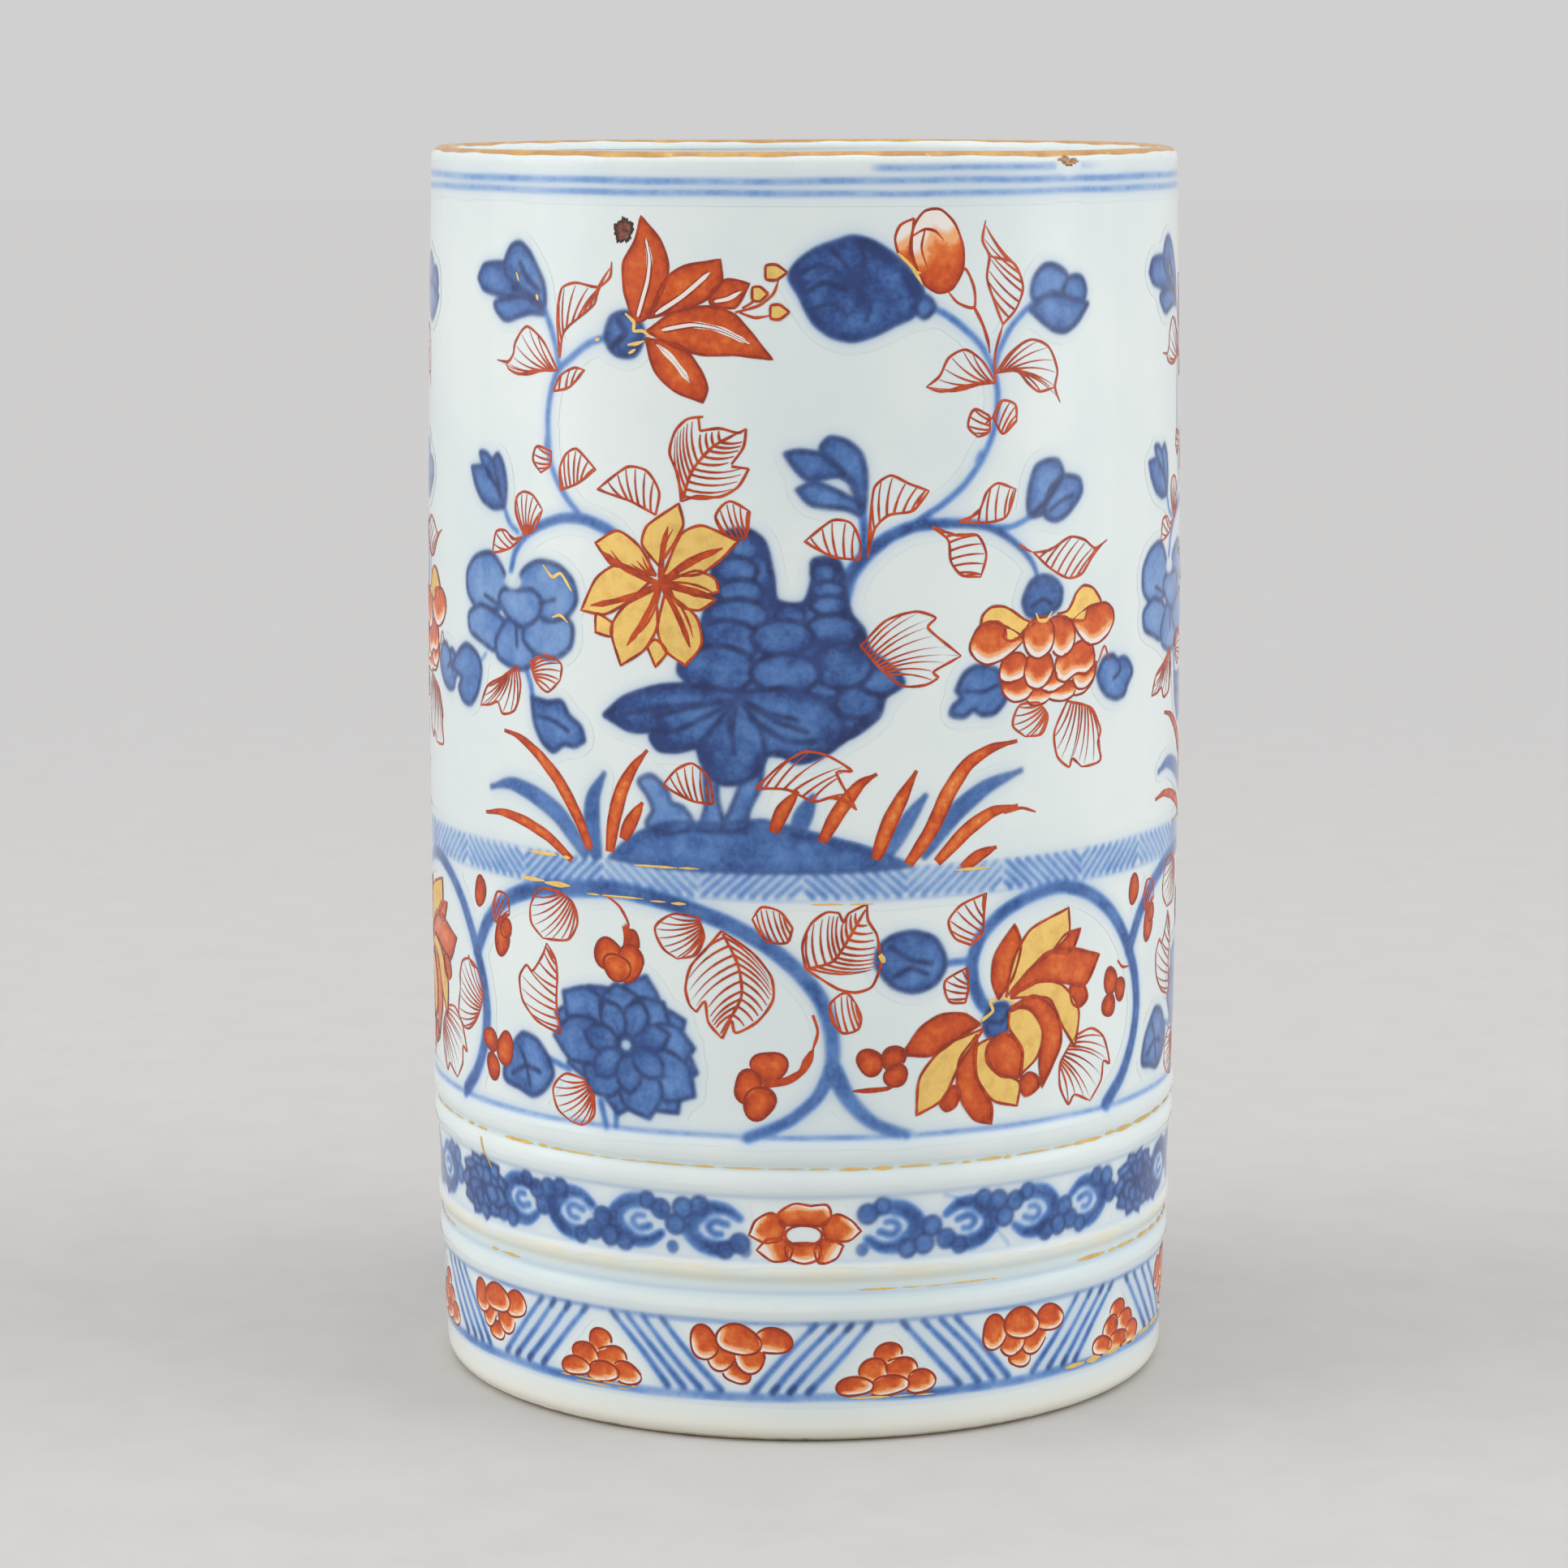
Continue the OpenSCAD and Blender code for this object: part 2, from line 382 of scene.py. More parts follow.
def new_piece(name, verts, faces, material, replaces=(), sharp=None, values=None):
    """One named piece of the pot in metres, riding the pot's body."""
    mesh = bpy.data.meshes.new(name)
    mesh.from_pydata(verts, [], faces)
    mesh.update()
    mesh.shade_smooth()
    if sharp is not None:
        mesh.set_sharp_from_angle(angle=math.radians(sharp))
    for key, numbers in (values or {}).items():
        layer = mesh.attributes.new(key, "FLOAT", "POINT")
        layer.data.foreach_set("value", np.asarray(numbers, dtype=np.float32))
    mesh.materials.append(material)
    piece = bpy.data.objects.new(name, mesh)
    bpy.context.scene.collection.objects.link(piece)
    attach(piece, "root")
    for node in replaces:
        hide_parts(node)
    return piece


def turned_faces(rows, columns, closed=True):
    """Quads between the rows of a turned surface, rows outermost."""
    faces = []
    for row in range(rows if closed else rows - 1):
        above = (row + 1) % rows
        for column in range(columns):
            beside = (column + 1) % columns
            faces.append((row * columns + column, row * columns + beside,
                          above * columns + beside, above * columns + column))
    return faces


def lathe(name, loop, columns, material, replaces, on_axis=False):
    """Turn a half section into a solid of revolution; one that starts on the axis is capped there."""
    around = np.radians(np.arange(columns) * 360 / columns - 180)
    rows = [np.stack([radius * np.sin(around), -radius * np.cos(around), np.full(columns, height)], axis=-1)
            for radius, height in loop]
    faces = turned_faces(len(loop), columns, closed=not on_axis)
    if on_axis:
        last = (len(loop) - 1) * columns
        faces.append(tuple(range(columns - 1, -1, -1)))
        faces.append(tuple(range(last, last + columns)))
    return new_piece(name, (np.concatenate(rows) * MM).tolist(), faces, material, replaces, 40)


def fine_loop(loop):
    """The same closed loop with points no further apart than LOOP_STEP."""
    dense = []
    for (r0, z0), (r1, z1) in zip(loop, loop[1:] + loop[:1]):
        count = max(1, math.ceil(math.hypot(r1 - r0, z1 - z0) / LOOP_STEP))
        dense += [(r0 + (r1 - r0) * i / count, z0 + (z1 - z0) * i / count) for i in range(count)]
    return dense


# ---------------------------------------------------------------- drawing on the wall

def smooth(points, closed=False, step=0.6):
    """A smooth line through the points, as an array with a point about every step mm."""
    knots = np.asarray(points, dtype=float)
    if len(knots) == 2 and not closed:
        share = np.linspace(0, 1, max(2, math.ceil(np.hypot(*(knots[1] - knots[0])) / step)))[:, None]
        return knots[0] * (1 - share) + knots[1] * share
    if closed:
        knots = np.concatenate([knots[-1:], knots, knots[:2]])
    else:
        knots = np.concatenate([2 * knots[:1] - knots[1:2], knots, 2 * knots[-1:] - knots[-2:-1]])
    line = []
    for before, start, end, after in zip(knots, knots[1:], knots[2:], knots[3:]):
        length = np.hypot(*(end - start))
        pull = min(1.0, 1.6 * length / max(np.hypot(*(end - before)), np.hypot(*(after - start)), 1e-6))
        leave = (end - before) * 0.5 * pull
        arrive = (after - start) * 0.5 * pull
        for t in np.arange(0, 1, 1 / max(2, math.ceil(length / step))):
            line.append((2 * t ** 3 - 3 * t * t + 1) * start + (t ** 3 - 2 * t * t + t) * leave
                        + (3 * t * t - 2 * t ** 3) * end + (t ** 3 - t * t) * arrive)
    if not closed:
        line.append(knots[-2])
    return np.array(line)


def looped(outline):
    """An outline as a line that comes back to its start."""
    return np.concatenate([outline, outline[:1]])


def eased(amount):
    """0 to 1 with a soft start and end."""
    return amount * amount * (3 - 2 * amount)


def spread(points, turn, pitch=SECTOR):
    """The same drawing in another sector, a little different, as freehand repeats are."""
    points = np.array(points, dtype=float)
    a, z = points[:, 0], points[:, 1]
    if turn == 0:
        return points
    stretch = np.where(a * turn > 0, (180 - pitch) / (pitch / 2), 1.0)
    moved_a = (turn * pitch + a * stretch + 0.8 * np.sin(z * 0.09 + turn)
               + 0.4 * np.sin(a * 0.21 + 2 * turn))
    moved_z = z + 0.5 * np.sin(a * 0.11 + turn * 1.7) * np.sin((z - 46) * 0.09) ** 2
    return np.stack([moved_a, moved_z], axis=-1)


def distance(line, a, z):
    """How far each point (a, z) is from a line, and where along it the nearest place is, 0 to 1."""
    best = np.full(a.shape, 1e9)
    along = np.zeros(a.shape)
    for index, (start, end) in enumerate(zip(line[:-1], line[1:])):
        step_a, step_z = end - start
        size = max(step_a * step_a + step_z * step_z, 1e-9)
        share = np.clip(((a - start[0]) * step_a + (z - start[1]) * step_z) / size, 0, 1)
        gap = np.hypot(a - start[0] - share * step_a, z - start[1] - share * step_z)
        near = gap < best
        best[near] = gap[near]
        along[near] = index + share[near]
    return best, along / max(len(line) - 1, 1)


def is_inside(outline, a, z):
    """Which points (a, z) lie inside a closed outline."""
    within = np.zeros(a.shape, dtype=bool)
    for (a0, z0), (a1, z1) in zip(outline, np.roll(outline, -1, axis=0)):
        if z0 == z1:
            continue
        crosses = ((z0 > z) != (z1 > z)) & (a < (a1 - a0) * (z - z0) / (z1 - z0) + a0)
        within ^= crosses
    return within


def depth_inside(outline, a, z):
    """How far each point (a, z) is inside a closed outline; below 0 outside it."""
    gap, _ = distance(looped(outline), a, z)
    return np.where(is_inside(outline, a, z), gap, -gap)


class Canvas:
    """The cobalt under the glaze: how much wash and how much drawn line lies at each place."""
    PITCH = 0.25         # the cells' size, in degrees and in mm
    LOW = 4.0            # the heights between which the cells lie
    HIGH = 185.0
    HALO = (0.95, 0.42)  # how far the firing spreads the wash thinly, and how strongly
    WASH_BLUR = 0.26
    INK_BLUR = 0.17

    def __init__(self):
        self.columns = round(360 / self.PITCH)
        self.rows = round((self.HIGH - self.LOW) / self.PITCH)
        self.wash = np.zeros((self.rows, self.columns))
        self.ink = np.zeros((self.rows, self.columns))

    def window(self, line, margin):
        """The cells near a line: rows, columns, and the (a, z) of each."""
        low = np.min(line, axis=0) - margin
        high = np.max(line, axis=0) + margin
        columns = np.arange(math.floor((low[0] + 180) / self.PITCH),
                            math.ceil((high[0] + 180) / self.PITCH) + 1)
        first = max(0, math.floor((low[1] - self.LOW) / self.PITCH))
        rows = np.arange(first, min(self.rows, math.ceil((high[1] - self.LOW) / self.PITCH) + 1))
        a, z = np.meshgrid(columns * self.PITCH - 180, rows * self.PITCH + self.LOW)
        return np.ix_(rows, columns % self.columns), a, z

    def heights(self):
        """The height of each row, as a column."""
        return (np.arange(self.rows) * self.PITCH + self.LOW)[:, None]

    def lay(self, field, cells, amount):
        field[cells] = np.maximum(field[cells], amount)

    def line(self, line, width, tone, soft=0.35, field=None, end_width=None):
        """A brushed line with soft edges. It narrows or widens evenly to end_width."""
        cells, a, z = self.window(line, width + soft)
        gap, along = distance(line, a, z)
        final = width if end_width is None else end_width
        half = (width + (final - width) * along) / 2
        amount = np.clip((half - gap) / soft + 0.5, 0, 1)
        self.lay(self.wash if field is None else field, cells, tone * eased(amount))

    def fill(self, outline, tone, outline_width=0.75, soft=0.4, ink=0.75):
        """A washed shape, pooled darker towards its edge, with a drawn outline."""
        cells, a, z = self.window(outline, 1.5)
        depth = depth_inside(outline, a, z)
        amount = np.clip((depth + 0.4 * outline_width) / soft + 0.5, 0, 1)
        pooled = tone * (0.9 + 0.1 * np.exp(-((depth - 0.7) / 0.8) ** 2))
        self.lay(self.wash, cells, pooled * eased(amount))
        self.line(looped(outline), outline_width, ink, 0.4, self.ink)

    def cover(self, outline, tone, outline_width=0.9, ink=0.85):
        """A washed shape that hides what was drawn under it."""
        cells, a, z = self.window(outline, 0.5)
        self.ink[cells] = np.where(is_inside(outline, a, z), 0.0, self.ink[cells])
        self.fill(outline, tone, outline_width, ink=ink)

    def lift_out(self, outline, left=0.1, soft=0.5):
        """Leave a shape nearly white."""
        cells, a, z = self.window(outline, 1.5)
        keep = 1 - (1 - left) * np.clip(depth_inside(outline, a, z) / soft + 0.5, 0, 1)
        self.wash[cells] = self.wash[cells] * keep
        self.ink[cells] = self.ink[cells] * keep

    def blurred(self, field, reach):
        """A field softened over reach mm, both ways."""
        span = math.ceil(reach * 3 / self.PITCH)
        kernel = np.exp(-0.5 * (np.arange(-span, span + 1) * self.PITCH / reach) ** 2)
        kernel /= kernel.sum()
        wide = np.pad(field, ((span, span), (0, 0)), mode="edge")
        tall = sum(k * wide[i:i + self.rows] for i, k in enumerate(kernel))
        around = np.pad(tall, ((0, 0), (span, span)), mode="wrap")
        return sum(k * around[:, i:i + self.columns] for i, k in enumerate(kernel))

    def bleed(self):
        """Let the cobalt creep into the glaze, as it does in the firing."""
        reach, strength = self.HALO
        halo = self.blurred(self.wash, reach)
        self.wash = np.maximum(self.blurred(self.wash, self.WASH_BLUR), strength * halo)
        self.ink = self.blurred(self.ink, self.INK_BLUR)

    def build(self, name, low, high, left, right, material, replaces=()):
        """The painted cells between two heights and two angles as one thin skin over the glaze."""
        first = max(0, round((low - self.LOW) / self.PITCH))
        last = min(self.rows - 1, round((high - self.LOW) / self.PITCH))
        start = round((left + 180) / self.PITCH)
        count = round((right - left) / self.PITCH)
        columns = (start + np.arange(count + 1)) % self.columns
        rows = np.arange(first, last + 1)
        wash = self.wash[np.ix_(rows, columns)]
        ink = self.ink[np.ix_(rows, columns)]
        full = np.maximum(wash, ink) > 0.02
        used = full[:-1, :-1] | full[1:, :-1] | full[:-1, 1:] | full[1:, 1:]
        row, column = np.nonzero(used)
        wide = len(columns)
        corner = row * wide + column
        quads = np.stack([corner, corner + 1, corner + 1 + wide, corner + wide], axis=-1)
        kept, faces = np.unique(quads, return_inverse=True)
        a = (start + kept % wide) * self.PITCH - 180
        z = rows[kept // wide] * self.PITCH + self.LOW
        verts = on_wall(a, z, COBALT_LIFT)
        new_piece(name, verts.tolist(), faces.reshape(quads.shape).tolist(), material, replaces,
                  values={"wash": wash.ravel()[kept], "ink": ink.ravel()[kept]})


class Paint:
    """Enamel or gilding on the glaze: strokes and filled shapes gathered into one thin mesh."""
    EDGE = 0.003         # a stroke's lift at its edges in mm, and how much its middle stands above them
    CROWN = 0.013
    TAPER = 1.6          # how far from its ends a stroke narrows
    SHELVE = 0.012       # how far a filled shape's edge dips below its middle

    def __init__(self, lift):
        self.lift = lift
        self.verts = []
        self.faces = []
        self.body = []

    def add(self, points, lift, faces, body):
        start = len(self.verts)
        self.verts += on_wall(points[:, 0], points[:, 1], self.lift + lift).tolist()
        self.faces += [tuple(start + i for i in face) for face in faces]
        self.body += list(body)

    def stroke(self, line, width, tone=0.75, ends=(0.4, 0.4)):
        """A drawn line with a raised middle. Ends of 1 are blunt, and of 0 are sharp."""
        run = np.concatenate([[0], np.cumsum(np.hypot(*np.diff(line, axis=0).T))])
        if run[-1] < 0.05:
            return
        ahead = np.gradient(line, axis=0)
        ahead /= np.maximum(np.hypot(ahead[:, 0], ahead[:, 1]), 1e-6)[:, None]
        across = np.stack([-ahead[:, 1], ahead[:, 0]], axis=-1)
        reach = min(self.TAPER, run[-1] * 0.4)
        half = width / 2 * np.minimum(1, ends[0] + (1 - ends[0]) * run / reach)
        half = half * np.minimum(1, ends[1] + (1 - ends[1]) * (run[-1] - run) / reach)
        half = half * (1 + 0.12 * np.sin(run * 1.7 + line[0, 0]))
        count = len(line)
        points = np.concatenate([line - across * half[:, None], line, line + across * half[:, None]])
        faces = []
        for i in range(count - 1):
            for low, high in ((i, i + count), (i + count, i + 2 * count)):
                faces.append((low, low + 1, high + 1, high))
        edge = np.full(count, self.EDGE)
        self.add(points, np.concatenate([edge, edge + self.CROWN, edge]), faces, [tone] * (3 * count))

    def outline(self, shape, width, tone):
        """A line drawn right round a shape."""
        self.stroke(looped(shape), width, tone, (1, 1))

    def fill(self, outline, tone=0.5, rim=0.78, reach=1.5, grid=1.1, bare=None):
        """A filled shape, domed by a hair, with its colour stronger at the rim.

        bare is the direction, and the depth in mm, of the edge that is left nearly white."""
        low, high = outline.min(axis=0), outline.max(axis=0)
        a, z = np.meshgrid(np.arange(low[0] + grid / 2, high[0], grid),
                           np.arange(low[1] + grid / 2, high[1], grid))
        spots = depth_inside(outline, a, z) > 0.35 * grid
        points = np.concatenate([outline, np.stack([a[spots], z[spots]], axis=-1)])
        flat, _, faces = delaunay_2d_cdt([Vector(p) for p in points], [], [list(range(len(outline)))],
                                         1, 1e-6)[:3]
        flat = np.array([tuple(p) for p in flat])
        gap, _ = distance(looped(outline), flat[:, 0], flat[:, 1])
        body = rim + (tone - rim) * np.clip(gap / reach, 0, 1)
        if bare is not None:
            depth = np.hypot(*bare)
            side = (flat - outline.mean(axis=0)) @ (np.array(bare) / depth)
            side = np.clip(1.5 * side / np.abs(side).max() + 0.35, 0, 1)
            body = body - (body - PALE) * side * np.clip(1.5 - gap / depth, 0, 1)
        self.add(flat, -self.SHELVE + self.SHELVE * np.clip(gap / 0.5, 0, 1), faces, body)

    def build(self, name, material, slot, replaces=()):
        new_piece(name, self.verts, self.faces, material, replaces, values={"body": self.body})


def outline_of(sides):
    """A closed outline from smooth sides that meet at corners. One side alone closes on itself."""
    if len(sides) == 1:
        return smooth(sides[0], closed=True)
    return np.concatenate([smooth(side)[:-1] for side in sides])


def at(line, share):
    """The point a share of the way along a line."""
    place = np.clip(share, 0, 1) * (len(line) - 1)
    index = min(int(place), len(line) - 2)
    return line[index] + (line[index + 1] - line[index]) * (place - index)


def bent(start, end, bow, short=0.0):
    """A slightly bowed line from start to end, stopping short of the end."""
    side = np.array([start[1] - end[1], end[0] - start[0]]) * bow
    share = np.linspace(0, 1 - short, 7)[:, None]
    return start + (end - start) * share + side * 4 * share * (1 - share)


def leaf(red, one, two, ribs, turn, fan=False, pitch=SECTOR):
    """An outlined leaf with two more ribs than asked, slanting from side two to side one or fanned."""
    one = smooth(spread(one, turn, pitch))
    two = smooth(spread(two, turn, pitch))
    for side in (one, two):
        red.stroke(side, LEAF_LINE, LINE_TONE, (1, 0.5))
    far = np.concatenate([one[len(one) // 4:], two[:len(two) // 2:-1]])
    ribs += 2
    for index in range(ribs):
        share = (index + 1) / (ribs + 1)
        if fan:
            rib = bent(at(two, 0.02 + 0.3 * share), at(far, share), 0.07, 0.05)
        else:
            rib = bent(at(two, share * 0.88), at(one, min(0.97, share + RIB_LEAN)), 0.05, 0.06)
        red.stroke(rib, LEAF_LINE * 0.9, LINE_TONE, (1.2, 0.75))


def petal(red, sides, turn, bare=None):
    """A filled red petal with a drawn outline."""
    shape = outline_of([spread(side, turn) for side in sides])
    red.fill(shape, 0.5, 0.8, bare=bare, grid=1.1 if bare is None else 0.6)
    red.outline(shape, 0.38, 0.98)


# ---------------------------------------------------------------- the garden, z 85 to 180

# Washed shapes: tone, then the sides of the outline, which meet at corners.
GARDEN_WASHES = [
    # bud at the upper left
    (0.86, [(-41, 164), (-45, 164.8), (-50, 165.2), (-55, 166), (-56.5, 167.5)],
     [(-56.5, 167.5), (-55, 169.3), (-51, 169.8), (-47, 169.5), (-43, 167.5), (-41, 164)]),
    (0.8, [(-49.5, 170), (-48, 172.3), (-46, 172.8), (-44, 171.5), (-42.5, 169.5), (-41, 167), (-41, 164),
     (-45, 166), (-49, 168)]),
    (0.82, [(-41, 163), (-44, 165), (-48, 165), (-52, 164), (-50, 162), (-48.5, 161.8), (-46, 162.5),
     (-43.5, 163)]),
    # bud at the left, and the lily's calyx
    (0.84, [(-49.6, 134.8), (-51, 138.5), (-54, 140.3), (-58.2, 139.9)],
     [(-58.2, 139.9), (-57, 137.5), (-55, 135.5), (-52, 134.5), (-49.6, 134.8)]),
    (0.78, [(-51, 137.5), (-55, 140.8), (-55.8, 142.2), (-54, 142.2), (-52, 140.8), (-50, 137)]),
    (0.8, [(-49.4, 135), (-51, 138.5), (-52.2, 141.2), (-51, 142.3), (-49.7, 140.8), (-49, 138)]),
    (0.9, [(-29.6, 160.3), (-28.6, 162.8), (-26, 163.5), (-24, 162), (-23.6, 160), (-25, 157.6),
     (-27.6, 157.6), (-29, 158.6)]),
    # the big bud and its ring
    (1.02, [(17, 166.6), (14, 170.6), (10, 173.4), (7, 174.2), (4, 173.4), (1.6, 172.5), (-0.8, 170.8),
     (-2, 168.8), (-0.6, 166.3), (0.5, 164), (1.6, 162.3), (4, 160.6), (7, 160), (10, 160.8), (13, 162.2),
     (15.6, 163.4)]),
    (0.8, [(18.8, 164.5), (17.3, 166), (15.8, 164.5), (17.3, 163)]),
    # bud at the upper right
    (0.78, [(35, 165.4), (35.2, 168), (37, 169.8), (39, 169.9), (41.2, 168.7), (42.2, 166.6), (41, 164.6)]),
    (0.84, [(40.6, 166), (42, 168), (44.4, 168), (45.4, 166), (44.2, 164), (41.6, 163.8)]),
    (0.8, [(34.6, 163.6), (37, 161.8), (39, 160.7), (41.2, 160.5), (43.6, 161.8), (45.8, 164.2)],
     [(45.8, 164.2), (42, 165.2), (38, 166), (34.6, 163.6)]),
    # bud at the right, and two heart leaves by the peony
    (0.78, [(34.5, 134.5), (34.2, 138), (35.5, 141.4), (37.7, 142.2), (39.6, 142), (40.6, 140),
     (39.5, 136)]),
    (0.84, [(37, 134.6), (38, 138), (40.6, 139.8), (43.8, 139.2), (44.3, 137.4), (43, 135.8), (41, 134.2),
     (39, 133.6)]),
    (0.84, [(22.2, 110.2), (23.4, 112.4), (25.2, 113.4), (27.6, 113.2), (29.6, 112), (30.8, 110)],
     [(30.8, 110), (29.8, 108), (28.2, 106.6), (26.2, 106.5), (24.9, 107.3), (23.4, 106.4), (21.4, 106.8),
     (21.8, 108), (23, 109), (22.2, 110.2)]),
    (0.76, [(48, 110.6), (49.4, 112.6), (51.6, 113), (53, 112.1)],
     [(53, 112.1), (54.6, 112.4), (56.2, 111.4), (57, 110), (55.6, 108.4), (54.8, 107), (52.6, 106.6),
      (50.2, 107.4), (48.6, 109), (48, 110.6)]),
    # the middle bud
    (0.84, [(8, 139), (5, 141), (0.5, 140.6), (-1.6, 142.6), (-2.6, 144.1)],
     [(-2.6, 144.1), (-0.8, 144.5), (2.4, 144), (5, 142.5), (8, 139)]),
    (0.8, [(7.9, 137), (5, 138.7), (1.5, 140), (-0.9, 139.1)],
     [(-0.9, 139.1), (0.8, 137.2), (3, 136.7), (6, 136.4), (7.9, 135.6), (7.9, 137)]),
    (0.82, [(8.3, 136), (7, 140), (3, 143.6), (2.4, 145), (3.6, 146.3), (6, 145.8), (8, 144), (8.7, 141)]),
    # the blue flower's petals
    (0.68, [(-48, 121.5), (-49.5, 125.4), (-52.5, 127.8), (-57, 126.9), (-59.5, 124.6), (-59.3, 121.4),
     (-56.5, 119.6), (-51, 119.8)]),
    (0.68, [(-49, 118), (-55, 120), (-59, 118.4), (-58.6, 115.9), (-55, 114.6), (-51.6, 113.7),
     (-49, 115.5)]),
    (0.68, [(-47.5, 119), (-51.4, 115.4), (-51, 113), (-48, 111.8), (-45, 111.6), (-42.8, 113),
     (-43.6, 117)]),
    (0.68, [(-44, 119.5), (-45, 116), (-42.4, 114), (-38.6, 113.7), (-35.7, 115.6), (-35.4, 118.7),
     (-38, 120.4)]),
    (0.68, [(-45, 121.5), (-45.4, 125.4), (-42, 127.4), (-38, 127.1), (-35.4, 125.2), (-34.6, 122.3),
     (-36.4, 119.9), (-40, 119)]),
    (0.66, [(-50.6, 121.2), (-48, 118.6), (-45, 117.7), (-42, 119.3), (-41, 121.6), (-43, 123.2),
     (-46, 123), (-49.6, 122.8)]),
    # leaf under the blue flower
    (0.84, [(-43.2, 107.6), (-40, 107.2), (-37.4, 107.5), (-36, 105.6), (-33.9, 104.1), (-33.3, 102.2)],
     [(-33.3, 102.2), (-35, 101.3), (-37, 101.4), (-39, 100.2), (-41.1, 101.5), (-42.6, 104),
     (-43.2, 107.6)]),
    # the peony's calyx
    (0.9, [(33.2, 122.3), (34.6, 125), (36.5, 125.7), (38.6, 125.2), (40.2, 123.6), (39.8, 121.4),
     (36.5, 119.8), (34, 120.4)]),
]

SMALL_LUMP = 5.5     # lumps of the rock narrower than this are paler
# The rock behind the flowers: rounded lumps, each one over the lumps before it. Middle, width, height.
ROCK_LUMPS = [
    (-2.2, 108.5, 22, 14), (4, 107, 9, 5.4), (-8.3, 131, 4.2, 3.6), (-9.5, 127.6, 5.8, 4),
    (-9, 124.6, 6.8, 3.6), (-9.3, 121.4, 8.8, 4.4), (2.8, 127.4, 3.4, 3), (3.4, 125, 4.6, 2.4),
    (3.5, 122.8, 5.2, 2.7), (-2, 121.4, 4.2, 3), (-11, 117.6, 9.5, 6), (4, 119.2, 7.8, 4.6),
    (-3, 118.2, 8.6, 5.2), (7.6, 109, 6.4, 4.6), (-12.2, 113.6, 10.6, 6.8), (10.8, 112, 6, 3.8),
    (5.4, 114.2, 8.6, 6.4), (-2.6, 113.2, 9.8, 5.6),
]
ROCK_BACK = [
    [(-11.4, 132.6), (-8, 133.2), (-5.8, 131.6), (-4.6, 127), (-4, 123.4), (0, 123), (1.4, 126.5),
     (1.4, 129), (4.6, 129), (5.6, 125), (6.4, 121.5), (8.2, 119.2), (9, 116.4), (12, 114), (14, 111.6),
     (11.4, 109.8), (10.4, 107), (6.4, 104.2), (-2, 102.8), (-8, 106), (-14, 110.4), (-17.8, 113),
     (-16.6, 116.4), (-14.6, 119.5), (-13.6, 123), (-12.8, 127.6)],
]
LEAF_MASS = [
    [(-29.6, 106.2), (-26.4, 108.8), (-21, 110.7), (-15, 111.2), (-9, 110.4), (-3, 111), (2.4, 109.6),
     (5.4, 106.6), (5, 103.4), (2.2, 101.4), (-1, 100.6), (-3.4, 101.8), (-5.4, 101.6)],
    [(-5.4, 101.6), (-6.4, 99.2), (-8.8, 97.6), (-11.8, 97.4), (-14, 99.2), (-15.2, 102.6)],
    [(-15.2, 102.6), (-18.2, 101.8), (-21, 101.9), (-22.2, 103.6), (-21, 104.6)],
    [(-21, 104.6), (-25.4, 104.4), (-29.6, 106.2)],
]
LEAF_VEINS = [
    [(-9.4, 109.4), (-16, 108.4), (-22, 107.6), (-27, 106.4)],
    [(-9.4, 109.4), (-14, 106.8), (-18, 104.8), (-21, 104.4)],
    [(-9.4, 109.6), (-12.6, 105.6), (-15.2, 102.6)],
    [(-9.4, 109.4), (-10.2, 105), (-10, 101.6)], [(-9.2, 109.4), (-6.2, 105.4), (-5.4, 101.6)],
    [(-9, 109.4), (-4, 106.4), (0.4, 104.8)], [(-7.4, 106.6), (-2.4, 103.6), (1.6, 103.4)],
]
MOUND = [
    [(-29, 85.6), (-26, 88.4), (-22, 90.6), (-18, 91.5), (-12, 91.4), (-6, 92.1), (-2, 91.2), (3, 89.8),
     (8, 88.4), (12, 86.9), (15.5, 85.3)],
    [(15.5, 85.3), (8, 84.8), (-6, 84.6), (-20, 84.8), (-29, 85.6)],
]
SMALL_ROCK = [
    [(-24.2, 97), (-22.3, 98), (-20, 96.2), (-19.2, 94.2), (-17.4, 93.6), (-16, 91), (-20, 89.6),
     (-23, 90.8), (-22, 93), (-22.8, 95)],
]
TRUNK = [
    [[(-15.2, 90.4), (-14, 94), (-14.2, 98.8)], [(-14.2, 98.8), (-12.4, 98.8)],
     [(-12.4, 98.8), (-12.3, 95), (-11.6, 92.4), (-11.4, 90.4)], [(-11.4, 90.4), (-15.2, 90.4)]],
    [[(-12, 90.4), (-10.6, 93.2), (-9.3, 96.4), (-8.4, 100)], [(-8.4, 100), (-5.8, 101)],
     [(-5.8, 101), (-6.2, 97), (-7.8, 93.6), (-8.2, 90.4)], [(-8.2, 90.4), (-12, 90.4)]],
]

# A blue bud and its stalk at the left edge of the front.
LONE_BUD = [
    [(-65.6, 109.8), (-63.4, 111.8), (-60, 113.7), (-56.6, 112.6), (-55.4, 110.5), (-56.5, 107),
     (-58.5, 105.1), (-61, 105.3), (-62.6, 107), (-61.6, 108.6), (-65.6, 109.8)],
]
LONE_BUD_STALK = [(-55.8, 111.4), (-54, 113)]
# A ribbed leaf by the front daisy, and a gilt streak under it.
HEART_LEAF = ([(-56, 62.5), (-58, 65.5), (-60.5, 66.5), (-63, 65.7), (-64, 63.5), (-64, 61.5)],
              [(-56, 62.5), (-56.8, 60), (-58.5, 57.5), (-61, 55.8), (-63, 55.8), (-65, 57.5), (-64, 61.5)])
FLOWER_EYE = (-47.3, 124.2, 4, 2.4)      # the blue flower's white middle
BAND_GILT = [(-57.4, 40), (-56.4, 37.4), (-55, 35.6)]

